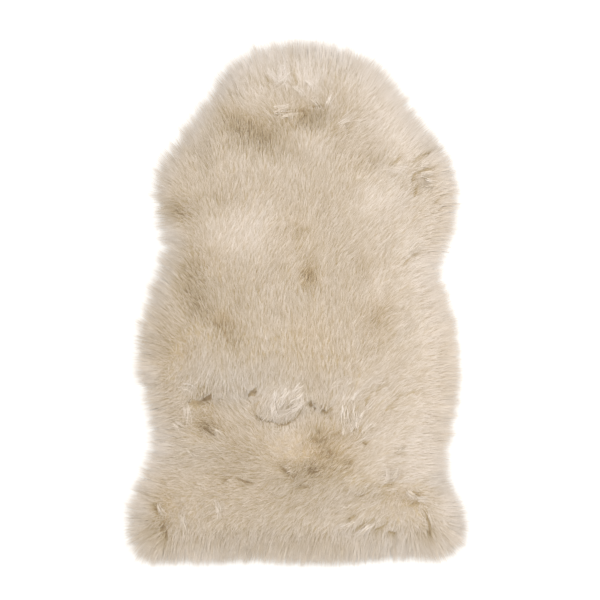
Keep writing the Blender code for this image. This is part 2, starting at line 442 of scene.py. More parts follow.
# %% Table of directions
Sweep = namedtuple("Sweep", "x y heading")
SWEEPS = [Sweep(*row) for row in (
    # the head
    (-0.029, 0.453, 95), (-0.073, 0.427, 108), (-0.117, 0.400, 115), (0.034, 0.436, 105),
    (0.085, 0.406, 86),
    (0.121, 0.400, 68), (0.156, 0.378, 55), (0.186, 0.342, 48), (0.210, 0.304, 52), (0.235, 0.265, 36),
    (-0.152, 0.356, 112), (-0.187, 0.312, 110), (-0.223, 0.268, 108), (-0.240, 0.216, 135),
    (-0.126, 0.374, 105), (-0.091, 0.321, 97), (-0.161, 0.268, 98), (-0.187, 0.207, 98), (-0.082, 0.268, 93),
    (-0.029, 0.365, 140), (0.006, 0.383, 100), (0.006, 0.335, 90), (0.041, 0.356, 75), (0.085, 0.321, 25),
    (0.112, 0.268, 58), (0.173, 0.268, 50), (0.147, 0.321, 45), (0.059, 0.268, 72), (-0.020, 0.268, 88),
    # the shoulders
    (0.253, 0.230, 12), (0.265, 0.189, 20), (0.261, 0.154, 28), (0.246, 0.110, 5), (0.182, 0.237, 45),
    (-0.250, 0.185, 155), (-0.244, 0.160, 170), (-0.226, 0.119, 165), (-0.117, 0.198, 90),
    (0.059, 0.198, 80), (0.147, 0.194, 42),
    (0.191, 0.180, 50), (0.006, 0.189, 88),
    # the back, where it points up
    (-0.064, 0.166, 48), (-0.043, 0.142, 44), (-0.091, 0.124, 84), (-0.114, 0.089, 58), (-0.073, 0.068, 74),
    (-0.170, 0.136, 92), (-0.179, 0.071, 115), (-0.205, 0.027, 125), (-0.231, -0.004, 132),
    (-0.249, -0.052, 140), (-0.258, -0.087, 155), (-0.258, -0.133, 168), (0.006, 0.128, 86),
    (0.068, 0.124, 62), (0.098, 0.142, 50), (0.133, 0.078, 68), (0.150, 0.159, 48), (0.209, 0.119, 40),
    (0.191, 0.066, 40), (0.226, 0.071, 25), (0.217, 0.018, 30), (0.246, -0.017, 24), (0.263, -0.057, 20),
    (0.182, -0.034, 36), (0.209, -0.075, 38), (0.265, -0.119, 8), (0.094, 0.022, 80), (0.050, 0.004, 86),
    (0.085, -0.075, 86), (0.133, -0.084, 70), (0.173, -0.119, 45), (0.156, -0.150, 42), (0.212, -0.136, 25),
    (0.253, -0.172, 5), (0.015, 0.048, 60), (-0.117, -0.013, 100), (-0.047, -0.018, 92), (0.006, -0.040, 86),
    (-0.080, -0.058, 94),
    # the back, where it hangs over the fold
    (-0.099, -0.102, -92),
    (-0.161, -0.101, -100), (-0.029, -0.110, -90), (0.033, -0.119, -85), (-0.011, -0.163, -120),
    (0.003, -0.189, -142), (-0.038, -0.172, -100),
    (-0.024, -0.203, -150), (-0.161, -0.145, -92),
    (-0.082, -0.145, -88), (-0.020, -0.168, -100), (0.041, -0.163, -90), (-0.205, -0.145, -120),
    (-0.231, -0.193, 190), (-0.196, -0.198, -125),
    # below the fold, around a whorl
    (-0.156, -0.216, 150), (-0.099, -0.216, 125), (-0.038, -0.233, 105), (0.024, -0.224, 92),
    (-0.112, -0.265, 148), (-0.161, -0.295, 172), (-0.231, -0.263, 176), (-0.196, -0.251, 160),
    (-0.047, -0.286, 170), (0.106, -0.175, 58), (0.098, -0.210, 72), (0.156, -0.198, 35),
    (0.200, -0.216, 12), (0.253, -0.233, 2), (0.094, -0.260, 30), (0.156, -0.260, 25), (0.191, -0.268, 10),
    (0.235, -0.286, 2),
    # the tail
    (0.191, -0.309, 22), (0.239, -0.330, -5), (0.265, -0.369, -15), (0.279, -0.409, -30),
    (0.253, -0.436, -45), (0.235, -0.400, -50), (0.203, -0.374, -95), (0.182, -0.409, -105),
    (0.147, -0.392, -140), (0.094, -0.379, -155), (0.112, -0.418, -115), (0.041, -0.348, -120),
    (0.006, -0.321, -160), (0.006, -0.383, -120), (0.006, -0.436, -98), (0.068, -0.439, -95),
    (0.138, -0.439, -100), (-0.055, -0.356, -155), (-0.038, -0.400, -135), (-0.061, -0.436, -105),
    (-0.108, -0.321, 178), (-0.145, -0.348, -150), (-0.145, -0.397, -115), (-0.143, -0.436, -95),
    (-0.205, -0.436, -95), (-0.212, -0.388, -90), (-0.246, -0.355, 150), (-0.270, -0.330, 165),
    (-0.281, -0.374, 185), (-0.286, -0.418, 205), (-0.280, -0.440, 225), (-0.262, -0.448, -112),
)]
print(len(SWEEPS), "directions")

# %% The fold, and which side of it a place is on
Bend = namedtuple("Bend", "x y")
FOLD = [Bend(*row) for row in (
    (-0.245, -0.150), (-0.200, -0.176), (-0.164, -0.172), (-0.125, -0.164), (-0.080, -0.163),
    (-0.064, -0.205), (-0.036, -0.217), (0.004, -0.195), (0.028, -0.186), (0.056, -0.194), (0.080, -0.170),
)]
fold_x, fold_y = np.array(FOLD).T


def above_fold(x, y):
    """How far a place lies above the fold, and whether the fold passes there."""
    return y - np.interp(x, fold_x, fold_y), (x > fold_x[0]) & (x < fold_x[-1])


# %% Spread the directions over the underwool
SWEEP_SPREAD = 0.036
FAR_WEIGHT = 1e-9  # so that a place far from every row still has weights
ACROSS_FOLD = 0.02  # what a row counts for on the fold's other side
FOLD_REACH = 0.09  # how far from the fold that holds
RIM_PULL = 1.8
UNDECIDED = 0.5

sweep_x, sweep_y, heading = np.array(SWEEPS).T
heading = np.radians(heading)
gap_x, gap_y = places[:, :1] - sweep_x, places[:, 1:2] - sweep_y
weight = np.exp(-(gap_x**2 + gap_y**2) / (2 * SWEEP_SPREAD**2)) + FAR_WEIGHT
place_over, place_passes = above_fold(places[:, 0], places[:, 1])
sweep_over, sweep_passes = above_fold(sweep_x, sweep_y)
apart = (place_over[:, None] * sweep_over < 0) & place_passes[:, None] & sweep_passes
weight[apart & (abs(place_over) < FOLD_REACH)[:, None]] *= ACROSS_FOLD


def spread(turns):
    """The averaged direction at each place, with every heading multiplied by this number of turns."""
    averaged = weight @ np.exp(1j * turns * heading) / weight.sum(1)
    averaged += RIM_PULL * rim_share**2 * np.exp(1j * turns * out_heading)
    return np.stack([averaged.real, averaged.imag, np.zeros(len(places))], 1)


flow = spread(1)
grain = spread(2)
either_way = np.linalg.norm(flow, axis=1) < UNDECIDED
print("wool that may lie either way:", int(either_way.sum()), "of", len(places), "places")

# %% [markdown]
# ## Hollows and lighter and darker places
#
# The fleece isn't even. Here and there it is parted or pressed in, and one looks down into it, past
# the pale tips to the warm brown near the skin. Elsewhere it stands full, and shows its tips alone.
# Three tables hold that. Hollows lower the underwool and shorten the wool on it. Patches only shift
# the colour along the strand: below zero towards the root's, above it towards the tip's. They are
# partly the wool's own uneven colour and partly painted light and shade: painted shade where one
# would look down into the fleece, painted sheen where it is lighter. Warmths tint it: above zero it
# gets yellower and browner, below it pinker. A painted picture would do the same in one step, but it
# would lie on the surface, where this one grows with every strand.

# %% Table of hollows
Hollow = namedtuple("Hollow", "x y width height turn depth")
HOLLOWS = [Hollow(*row) for row in (
    (-0.164, -0.172, 0.016, 0.008, -15, 0.012),  # under the overhang
    (-0.078, -0.161, 0.015, 0.010, 20, 0.013),
    (-0.036, -0.213, 0.034, 0.007, 0, 0.010),
    (0.036, -0.190, 0.014, 0.008, -40, 0.012),
    (0.020, 0.051, 0.014, 0.012, 0, 0.009),  # the brown spot
    (0.223, 0.218, 0.013, 0.013, 0, 0.009),  # the shoulder's whorl
    (-0.252, -0.414, 0.014, 0.024, 0, 0.008),  # the tail's corner
    (-0.082, 0.325, 0.050, 0.014, -28, 0.006),  # across the head
    (0.020, 0.330, 0.012, 0.014, 0, 0.007),
    (0.170, -0.310, 0.012, 0.010, 0, 0.008),
)]

# %% Press the hollows in
HOLLOW_FULL = 0.03  # the height from which on a hollow has its full depth


def bump(row, x, y):
    """1 at the row's place, falling off as a bell over its width and height, which are turned."""
    cosine, sine = math.cos(math.radians(row.turn)), math.sin(math.radians(row.turn))
    along = (x - row.x) * cosine + (y - row.y) * sine
    across = (y - row.y) * cosine - (x - row.x) * sine
    return np.exp(-((along / row.width) ** 2) - (across / row.height) ** 2)


hollow = sum(row.depth * bump(row, places[:, 0], places[:, 1]) for row in HOLLOWS)
places[:, 2] -= hollow * np.clip(places[:, 2] / HOLLOW_FULL, 0, 1)
underwool.data.vertices.foreach_set("co", places.ravel())
print(len(HOLLOWS), "hollows, the deepest", round(hollow.max() * MM, 1), "mm")

# %% Table of patches
Patch = namedtuple("Patch", "x y width height turn tone")
PATCHES = [Patch(*row) for row in (
    # the head
    (-0.082, 0.312, 0.070, 0.030, -25, -1.20),
    (0.024, 0.328, 0.036, 0.020, 5, -1.20),
    (-0.085, 0.368, 0.030, 0.025, 0, 0.60),
    (0.018, 0.404, 0.028, 0.025, 0, 0.60),
    (0.012, 0.306, 0.025, 0.018, 0, 0.60),
    (0.041, 0.284, 0.020, 0.020, 0, 0.50),
    (0.205, 0.290, 0.032, 0.035, 0, 0.45),
    (-0.185, 0.340, 0.030, 0.040, 0, 0.35),
    (-0.161, 0.268, 0.028, 0.025, 0, -0.40),
    (0.133, 0.348, 0.016, 0.016, 0, -0.30),
    (0.143, 0.260, 0.026, 0.026, 0, -0.50),
    (-0.020, 0.420, 0.085, 0.028, 0, 0.60),
    (0.143, 0.363, 0.081, 0.035, -48, 0.60),
    (-0.073, 0.251, 0.081, 0.012, -8, 0.30),
    (0.223, 0.219, 0.016, 0.016, 0, -0.40),
    # the shoulders and the back
    (-0.220, 0.163, 0.035, 0.018, 0, -0.90),
    (-0.228, 0.170, 0.008, 0.018, 10, -0.80),
    (-0.141, 0.191, 0.040, 0.016, 0, -0.40),
    (-0.108, 0.128, 0.060, 0.035, -15, 0.60),
    (-0.068, 0.155, 0.045, 0.045, 0, 0.45),
    (0.150, 0.187, 0.039, 0.026, 0, 0.50),
    (0.006, 0.131, 0.016, 0.016, 0, -0.50),
    (0.026, 0.055, 0.016, 0.026, 0, -1.30),
    (0.124, 0.075, 0.021, 0.025, 0, -0.50),
    (-0.190, 0.040, 0.030, 0.060, 0, -0.95),
    (-0.150, -0.022, 0.053, 0.026, -35, -0.60),
    (-0.130, -0.033, 0.018, 0.014, 0, -0.50),
    (-0.117, -0.070, 0.040, 0.028, 0, -0.45),
    (-0.231, -0.060, 0.035, 0.044, 0, -0.35),
    (0.147, -0.068, 0.028, 0.030, 0, -0.35),
    (0.150, 0.045, 0.022, 0.020, 0, 0.35),
    (-0.114, 0.022, 0.044, 0.035, 0, -0.35),
    (0.152, -0.022, 0.028, 0.028, 0, -0.70),
    (0.217, 0.078, 0.025, 0.067, 0, 0.50),
    (0.247, -0.057, 0.025, 0.099, 0, 0.50),
    # around the fold
    (-0.165, -0.168, 0.018, 0.014, 0, -0.60),
    (-0.166, -0.216, 0.032, 0.019, 0, -0.80),
    (-0.114, -0.260, 0.039, 0.032, 0, -0.35),
    (-0.024, -0.175, 0.035, 0.018, 0, 0.80),
    (0.046, -0.258, 0.036, 0.042, 0, -0.60),
    (-0.020, -0.245, 0.034, 0.036, 0, 0.55),
    (0.085, -0.160, 0.035, 0.028, 0, 0.50),
    (0.226, -0.290, 0.035, 0.035, 0, 0.25),
    (-0.245, -0.265, 0.025, 0.030, 0, 0.45),
    (0.006, -0.302, 0.046, 0.025, 0, -0.80),
    (0.087, -0.295, 0.025, 0.025, 0, -0.40),
    (0.226, -0.224, 0.028, 0.074, 0, 0.50),
    (0.168, -0.242, 0.028, 0.023, 0, 0.40),
    # the tail
    (0.187, -0.353, 0.028, 0.016, 0, -0.50),
    (-0.026, -0.358, 0.056, 0.025, 0, -0.30),
    (-0.253, -0.414, 0.021, 0.021, 0, -0.40),
    (-0.249, -0.355, 0.016, 0.039, 0, -0.30),
    (0.080, -0.410, 0.035, 0.020, 0, 0.55),
    (0.137, -0.345, 0.030, 0.020, 0, -0.45),
    (0.235, -0.418, 0.021, 0.018, 0, -0.40),
    (-0.143, -0.316, 0.035, 0.032, 0, -0.25),
    (0.270, -0.383, 0.018, 0.035, 0, 0.30),
)]

# %% Lay the patches of colour, painted light and painted shade
PILE = 0.020  # the strands' length on top of the rug
TOP_SHARE = 0.69  # a strand is mostly seen this far from its root
RIM_PAINTED_LIGHT, RIM_LIGHT_END, RIM_LIGHT_FADE = 1.0, 0.030, 0.023  # painted light: the rim, shaded on its steep sides and thin over the bright floor, is painted paler
RIGHT_PAINTED_LIGHT, RIGHT_START, RIGHT_FADE = 0.35, 0.09, 0.06  # painted light: the rug's right side, where the lamp on the right falls, is painted paler too
RIM_LESS_THERE = 0.5  # where the rim's painted light counts for less


def laid(rows, x, y):
    """What the rows' tones add up to at these places."""
    return sum(row.tone * bump(row, x, y) for row in rows)


seen = places + flow * (PILE * TOP_SHARE)
# partly painted shade and painted light: the patches darken and lighten the wool besides its own uneven
# colour
tone = laid(PATCHES, seen[:, 0], seen[:, 1])
# painted light: the right side, where the lamp on the right falls, is painted paler
right_side = np.clip((places[:, 0] - RIGHT_START) / RIGHT_FADE, 0, 1)
# painted light: the wool is painted paler towards the outline
rim_painted_light = RIM_PAINTED_LIGHT * np.clip((RIM_LIGHT_END - edge_distance) / RIM_LIGHT_FADE, 0, 1)
tone += RIGHT_PAINTED_LIGHT * right_side + rim_painted_light * (1 - RIM_LESS_THERE * right_side)
print(len(PATCHES), "patches; tones from", round(tone.min(), 2), "to", round(tone.max(), 2))

# %% Table of warmths
WARMTHS = [Patch(*row) for row in (
    # browner: the head, the brown spot, two small ones and the tail
    (-0.068, 0.325, 0.050, 0.030, -20, 0.50),
    (0.011, 0.339, 0.020, 0.020, 0, 0.80),
    (0.024, 0.054, 0.016, 0.020, 0, 1.60),
    (-0.131, -0.027, 0.020, 0.016, 0, 1.00),
    (0.041, -0.263, 0.060, 0.045, 0, 0.90),
    (0.186, -0.348, 0.030, 0.020, 0, 0.40),
    (-0.149, -0.207, 0.030, 0.025, 0, 0.20),
    (-0.249, -0.348, 0.020, 0.040, 0, 0.30),
    # yellower: down the middle, and patches beside it
    (0.122, 0.254, 0.030, 0.030, 0, 0.20),
    (0.143, -0.017, 0.040, 0.040, 0, 0.40),
    (0.006, 0.128, 0.040, 0.050, 0, 0.35),
    (0.122, 0.078, 0.030, 0.030, 0, 0.20),
    (0.027, -0.075, 0.050, 0.080, 0, 0.60),
    (-0.099, -0.295, 0.060, 0.050, 0, 0.40),
    # pinker: the end of the overhang
    (-0.117, -0.145, 0.090, 0.030, 0, -0.60),
    # the rim, but for the head's
    (-0.290, -0.050, 0.040, 0.300, 0, 0.60),
    (0.285, -0.050, 0.040, 0.300, 0, 0.60),
    (0.000, -0.450, 0.260, 0.028, 0, 0.80),
    (0.000, 0.430, 0.150, 0.060, 0, -0.30),
)]
warm = laid(WARMTHS, seen[:, 0], seen[:, 1])
print(len(WARMTHS), "warmths; from", round(warm.min(), 2), "to", round(warm.max(), 2))

# %% [markdown]
# ## Partings
#
# Here and there the fleece is parted along a short line, most of all where the overhang ends: no lock
# crosses it, and one sees a dark slit. Each line is made a little upright curtain, with the parting's
# depth on its points. The tree that grows the wool looks along every strand's way for a curtain, and
# ends the strand there. The deeper the parting, the farther from the curtain it ends. Strands that grow
# beside a curtain are also painted darker, a painted shade of the slit. The curtains are removed again
# once the wool has grown.

# %% Table of partings
Parting = namedtuple("Parting", "depth line")
PARTINGS = (
    # under the overhang
    Parting(1.8, (
        (-0.1874, -0.1751), (-0.1751, -0.1786), (-0.1646, -0.1734), (-0.1558, -0.1681),
        (-0.1505, -0.1646),
    )),
    Parting(1.8, ((-0.0871, -0.1663), (-0.0818, -0.161), (-0.0748, -0.161), (-0.0713, -0.1505))),
    Parting(0.8, (
        (-0.0695, -0.2033), (-0.0554, -0.2103), (-0.0414, -0.2121), (-0.0308, -0.2191),
        (-0.0167, -0.2174), (-0.0044, -0.2086), (0.0079, -0.1945),
    )),
    Parting(1.1, ((0.0238, -0.1734), (0.0273, -0.1857), (0.0343, -0.1892))),
    Parting(1.1, ((0.0449, -0.191), (0.0519, -0.1962), (0.059, -0.191))),
    # on the head
    Parting(0.6, ((-0.0537, 0.3969), (-0.0466, 0.3863))),
    Parting(0.6, ((-0.0062, 0.4039), (0.0009, 0.3846))),
    Parting(0.6, ((-0.0343, 0.3318), (-0.0167, 0.3353))),
    Parting(0.6, ((-0.0009, 0.337), (0.0114, 0.3388), (0.0132, 0.3247))),
    Parting(0.6, ((0.0308, 0.3458), (0.0431, 0.3458))),
    # around the shoulder's whorl
    Parting(0.6, ((0.2015, 0.2103), (0.2033, 0.2191), (0.2086, 0.2297))),
    Parting(0.6, ((0.2103, 0.2297), (0.2244, 0.235), (0.2402, 0.2367))),
    Parting(0.6, ((0.2033, 0.2455), (0.2226, 0.2596), (0.235, 0.2631))),
    Parting(0.6, ((0.1663, 0.2402), (0.1769, 0.2508), (0.1839, 0.2561))),
    Parting(0.4, ((0.2226, 0.2209), (0.235, 0.2174), (0.2455, 0.2156))),
    Parting(0.4, ((0.2226, 0.2015), (0.2385, 0.205))),
    Parting(0.3, ((0.2385, 0.1734), (0.2473, 0.1822), (0.2561, 0.1892))),
    Parting(0.6, ((0.2068, 0.1857), (0.2086, 0.2015))),
    Parting(0.6, ((0.1857, 0.0642), (0.198, 0.0783), (0.2138, 0.0889))),
    # right of the overhang
    Parting(0.55, ((0.1364, -0.1593), (0.147, -0.1558), (0.154, -0.1505))),
    Parting(0.55, ((0.1998, -0.161), (0.2103, -0.161), (0.2174, -0.1558))),
    Parting(0.55, ((0.1734, -0.1698), (0.1857, -0.1663))),
    Parting(0.55, ((0.1558, -0.1927), (0.1663, -0.1874))),
    Parting(0.55, ((0.1206, -0.1716), (0.1223, -0.1857))),
    Parting(0.55, ((0.0942, -0.2156), (0.0977, -0.2033), (0.103, -0.1892))),
    Parting(0.55, ((0.0818, -0.2068), (0.0854, -0.1927))),
    Parting(0.55, ((0.0977, -0.2279), (0.1082, -0.2244))),
    Parting(0.55, ((0.1153, -0.249), (0.1223, -0.2526))),
    Parting(0.55, ((0.1716, -0.2684), (0.1822, -0.2684))),
    # in the brown wool below it
    Parting(0.4, ((0.037, -0.229), (0.040, -0.235))),
    Parting(0.4, ((0.0255, -0.2438), (0.0343, -0.2455))),
    Parting(0.4, ((0.0396, -0.2473), (0.0519, -0.2438))),
    Parting(0.4, ((0.0642, -0.235), (0.073, -0.235))),
    Parting(0.4, ((0.0871, -0.2614), (0.0959, -0.2578))),
    Parting(0.4, ((0.0906, -0.2895), (0.0942, -0.279))),
    Parting(0.4, ((0.0238, -0.2948), (0.0343, -0.3001))),
    Parting(0.4, ((-0.0097, -0.3054), (-0.0026, -0.3089))),
    Parting(0.4, ((0.0554, -0.2649), (0.0625, -0.2719))),
    Parting(0.4, ((-0.0044, -0.33), (0.0114, -0.3247), (0.0255, -0.3282))),
    # on the tail
    Parting(0.8, ((0.1118, -0.3441), (0.1188, -0.3406))),
    Parting(0.8, ((0.161, -0.4039), (0.1751, -0.4074))),
    Parting(0.8, ((-0.161, -0.2244), (-0.147, -0.235))),
    Parting(0.4, ((-0.1294, -0.3194), (-0.1118, -0.3089))),
    Parting(0.8, ((-0.1012, -0.3124), (-0.0942, -0.3177), (-0.0783, -0.3194))),
    Parting(0.8, ((-0.0238, -0.293), (-0.0167, -0.3001))),
    Parting(0.8, ((0.154, -0.323), (0.1663, -0.323))),
    Parting(0.8, ((0.2068, -0.3388), (0.2156, -0.337))),
    Parting(0.8, ((0.205, -0.3564), (0.2138, -0.3564))),
    Parting(0.8, ((0.2262, -0.3687), (0.235, -0.3916), (0.2345, -0.408))),
    Parting(0.8, ((0.0942, -0.381), (0.1065, -0.3758))),
    Parting(0.8, ((0.103, -0.4004), (0.1153, -0.3916), (0.1329, -0.3846), (0.1399, -0.3793))),
    Parting(0.8, ((0.1382, -0.4004), (0.154, -0.3951), (0.161, -0.3898))),
    Parting(0.8, ((-0.249, -0.3617), (-0.2455, -0.3722))),
    Parting(0.8, ((-0.2367, -0.4004), (-0.2332, -0.3934))),
    Parting(0.8, ((-0.2297, -0.404), (-0.2297, -0.418))),
)

# %% Hang up the curtains
CURTAIN_FOOT, CURTAIN_TOP = -0.1, 0.2

curtain_mesh = bmesh.new()
depth_layer = curtain_mesh.verts.layers.float.new("depth")
for parting in PARTINGS:
    foot = [curtain_mesh.verts.new((x, y, CURTAIN_FOOT)) for x, y in parting.line]
    top = [curtain_mesh.verts.new((x, y, CURTAIN_TOP)) for x, y in parting.line]
    for corner in foot + top:
        corner[depth_layer] = parting.depth
    for step in range(len(parting.line) - 1):
        curtain_mesh.faces.new((foot[step], foot[step + 1], top[step + 1], top[step]))
curtains = bpy.data.objects.new("curtains", bpy.data.meshes.new("curtains"))
curtain_mesh.to_mesh(curtains.data)
curtain_mesh.free()
bpy.context.scene.collection.objects.link(curtains)
print(len(PARTINGS), "partings")

# %% [markdown]
# ## The fringe
#
# The wool at the rim isn't as long as the pile: it is as long as it takes to reach the outline, the way
# it lies. So from every point of the underwool one follows the wool's lie, a millimetre at a time,
# until the cover ends. That way, and a little more because a tip is too thin to show, becomes the
# strand's length. Farther in, the length goes over to the pile's.
#
# The fringe isn't the same all round either. A table makes it longer or deeper in places, where deeper
# means that roots farther in still reach the outline. Around the head its ends are ragged. Along the
# tail they are even, and turn down and under. At the very edge, finer loose wool grows as well.

# %% Table of the fringe
Fringe = namedtuple("Fringe", "x y width height turn longer deeper")
FRINGES = [Fringe(*row) for row in (
    (-0.280, 0.000, 0.100, 0.600, 0, 0.004, 0.000),
    (0.280, 0.000, 0.100, 0.600, 0, -0.004, 0.000),
    (-0.270, -0.430, 0.034, 0.034, 0, 0.011, 0.036),
    (0.235, -0.440, 0.050, 0.026, 0, 0.010, 0.034),
    (0.000, -0.450, 0.230, 0.030, 0, -0.0005, 0.008),
    (-0.155, -0.450, 0.030, 0.022, 0, 0.004, 0.012),
    (0.000, 0.300, 0.400, 0.180, 0, -0.002, 0.000),
    (-0.255, 0.170, 0.040, 0.070, 0, -0.004, 0.000),
)]

# %% How far the outline is, the way the wool lies
WAY_END, WAY_STEP = 0.075, 0.001
OUTSIDE = 0.5  # where less than this is covered, the rug has ended

flow_way = flow / np.linalg.norm(flow, axis=1)[:, None]
way_to_edge = np.full(len(places), WAY_END)
for gone in np.arange(WAY_END, -WAY_STEP, -WAY_STEP):
    way_to_edge[on_grid(covered, places + flow_way * gone) < OUTSIDE] = gone
print("the outline is near for", int((way_to_edge < WAY_END).sum()), "of", len(places), "places")

# %% How long the wool is
RIM_START, RIM_END = 0.018, 0.036  # this far from the outline: full rim length, and the pile's
RIM_PAST = 0.016  # how far a rim strand's tip goes past the outline, where it is too thin to show
RIM_STRETCH = 0.86  # how much of a rim strand's length goes the way it lies
TAIL_START, TAIL_FADE = -0.405, 0.025  # from here on the tail's end turns down and under
TAIL_STRETCH = 0.08  # how much less of the length goes the way it lies there
HOLLOW_SHORTER = 0.8  # of a hollow's depth

longer = sum(row.longer * bump(row, places[:, 0], places[:, 1]) for row in FRINGES)
deeper = sum(row.deeper * bump(row, places[:, 0], places[:, 1]) for row in FRINGES)
rim = np.clip((RIM_END + deeper - way_to_edge) / (RIM_END - RIM_START), 0, 1)
tail_share = np.clip((TAIL_START - places[:, 1]) / TAIL_FADE, 0, 1)
rim_reach = (way_to_edge + RIM_PAST + longer) / (RIM_STRETCH - TAIL_STRETCH * tail_share)
reach = PILE + (rim_reach - PILE) * rim
reach -= hollow * HOLLOW_SHORTER
print("wool:", round(reach.min() * MM), "to", round(reach.max() * MM), "mm long")

# %% How densely it grows, how it hangs and how uneven it is
GROWS_TILT, GROWS_LEVEL = 3, 1.6  # it thins out where the felt looks down
THICKER = 35.0  # how much denser the wool grows for each metre of "deeper"
FRAY_END, FRAY_FADE = 0.022, 0.010  # where the fine loose wool at the rim ends
TAIL_FRAYS_LESS = 0.7
HANG, TAIL_HANG = 0.60, 0.5
RAGGED_FROM = (-0.45, -0.40, -0.05, 0.15)  # from tail to head, how uneven the fringe is: even at the
RAGGED_BY = (-0.5, 0.0, 0.0, 0.5)  # tail's end, ragged around the head

normals = point_vectors(underwool.data.vertices, "normal", len(places)).astype(float)
grows = np.clip(normals[:, 2] * GROWS_TILT + GROWS_LEVEL, 0, 1) * (1 + THICKER * deeper)
frays = grows * np.clip((FRAY_END - edge_distance) / FRAY_FADE, 0, 1)
frays = frays * (1 - TAIL_FRAYS_LESS * tail_share)
hang = (HANG + TAIL_HANG * tail_share) * rim
ragged = 1 + rim * np.interp(places[:, 1], RAGGED_FROM, RAGGED_BY)
print("wool grows on", int((grows > 0).sum()), "places, loose wool on", int((frays > 0).sum()))

# %% Hand it all to the underwool's points
fields = {
    "flow": flow,
    "grain": grain,
    "reach": reach,
    "tone": tone,
    "warm": warm,
    "hang": hang,
    "combed": rim,
    "grows": grows,
    "frays": frays,
    "ragged": ragged,
}
for name, values in fields.items():
    kind, slot = ("FLOAT_VECTOR", "vector") if values.ndim == 2 else ("FLOAT", "value")
    attribute = underwool.data.attributes.new(name, kind, "POINT")
    attribute.data.foreach_set(slot, values.astype(np.float32).ravel())
print("handed over:", ", ".join(fields))

# %% [markdown]
# ## The wool's colour
#
# The fleece is a pale beige, a little pink at the tips. Towards the skin it gets warmer and darker:
# partly its own colour, as the tips have faded, and partly painted shade, as the wool around shades it
# there. So the colour is a ramp from root to tip, read at a place that says how far along its strand a
# point is. Each strand's own tone moves it along that ramp, and its warmth tints what comes out. The
# tone also carries painted light and shade: the patches, the paler rim and right side, and the dark
# beside the partings, which the ramp's darkest stop serves. Wool has no shine to speak of, so the
# highlights are turned off.

# %% Wool material
Stop = namedtuple("Stop", "place color")
WOOL_SHADES = (
    Stop(0.00, (0.25, 0.182, 0.111, 1)),
    Stop(0.22, (0.463, 0.366, 0.232, 1)),
    Stop(0.50, (0.622, 0.527, 0.405, 1)),
    Stop(0.76, (0.743, 0.663, 0.573, 1)),
    Stop(1.00, (0.855, 0.776, 0.697, 1)),
)
# partly painted shade: the ramp is darker at the skin, where the wool around shades it
AT_THE_SKIN = 0.31
AT_THE_TIP = 0.768
PALES_EARLY = 0.7  # below 1, a strand gets pale soon after its root
PATCH_STRENGTH = 0.265
WARM_TINT = (0.03, 0.0, -0.055)
WOOL_ROUGHNESS = 0.8


def new_material(name):
    material = bpy.data.materials.new(name)
    material.use_nodes = True
    return Tree(material.node_tree), material.node_tree.nodes["Principled BSDF"], material


def wool_material():
    tree, shader, material = new_material("wool")
    along = tree.wire("ShaderNodeAttribute", {"attribute_name": "along"}, "Fac")
    own_tone = tree.wire("ShaderNodeAttribute", {"attribute_name": "tone"}, "Fac")
    own_warmth = tree.wire("ShaderNodeAttribute", {"attribute_name": "warm"}, "Fac")
    lightness = along**PALES_EARLY * (AT_THE_TIP - AT_THE_SKIN) + own_tone * PATCH_STRENGTH + AT_THE_SKIN
    color = tree.wire("ShaderNodeValToRGB", {"stops": WOOL_SHADES}, "Color", Fac=lightness)
    tint = tree.vector("ADD", tree.vector("SCALE", WARM_TINT, Scale=own_warmth), (1.0, 1.0, 1.0))
    tree.feed(shader.inputs["Base Color"], tree.vector("MULTIPLY", color, tint))
    shader.inputs["Roughness"].default_value = WOOL_ROUGHNESS
    shader.inputs["Specular IOR Level"].default_value = 0.0
    return material


wool = wool_material()
print("wool:", len(wool.node_tree.nodes), "nodes")

# %% [markdown]
# ## Growing the wool
#
# A fleece has a thousand fibres or more to the square centimetre, far more than can be modelled. What
# one sees, though, is how they gather: a few dozen fibres cling into a strand about a millimetre
# wide, and the strands lean together at their tips into pointed locks. So the strand is what is
# modelled. Geometry Nodes scatter roots over the underwool, put a thin closed cone of three sides and
# one or two lengths on each, and then bend every cone's points along its strand's own curve. Blender's
# hair could do it too, but it leaves curves and not a mesh.
#
# A strand's middle line starts along one direction and ends along another, in even change, which is
# root + length * (start * (t - t*t/2) + end * t*t/2) for t from 0 to 1. It starts between the skin's
# normal and the lie of the wool, and ends along the lie. A second, sparser scatter gives the locks:
# each strand takes over its nearest lock's own turn, and is pulled towards the lock's middle, the more
# the nearer to its tip. At the rim the locks are combed out.

# %% The tree's inputs, and two helpers
COAT_INPUTS = {
    "where": "String",
    "seed": "Int",
    "steps": "Int",
    "roots": "Float",
    "locks": "Float",
    "length": "Float",
    "uneven": "Float",
    "width": "Float",
    "gather": "Float",
    "rise": "Float",
    "stray": "Float",
    "paler": "Float",
    "cells": "Float",
}
grow, (skin, *inputs) = geometry_tree("grow_wool", **COAT_INPUTS)
where, seed, steps, roots, locks, length, uneven, width, gather, rise, stray, paler, cells = inputs


def skin_field(name, kind="FLOAT"):
    """What the underwool's points say under this name."""
    return grow.wire("GeometryNodeInputNamedAttribute", {"data_type": kind}, Name=name)


def chance(least, most, seed, kind="FLOAT"):
    """A random number or vector for each point."""
    node = grow.tree.nodes.new("FunctionNodeRandomValue")
    node.data_type = kind
    shown = [socket for socket in node.inputs if socket.enabled]
    for socket, value in zip((*shown[:2], shown[-1]), (least, most, seed)):
        grow.feed(socket, value)
    return Wire(grow, next(socket for socket in node.outputs if socket.enabled))


print("grow_wool:", len(inputs), "inputs beside the mesh")

# %% Scatter the roots and the locks
LOCK_SEED = 11

position = grow.wire("GeometryNodeInputPosition")
density = skin_field(where)


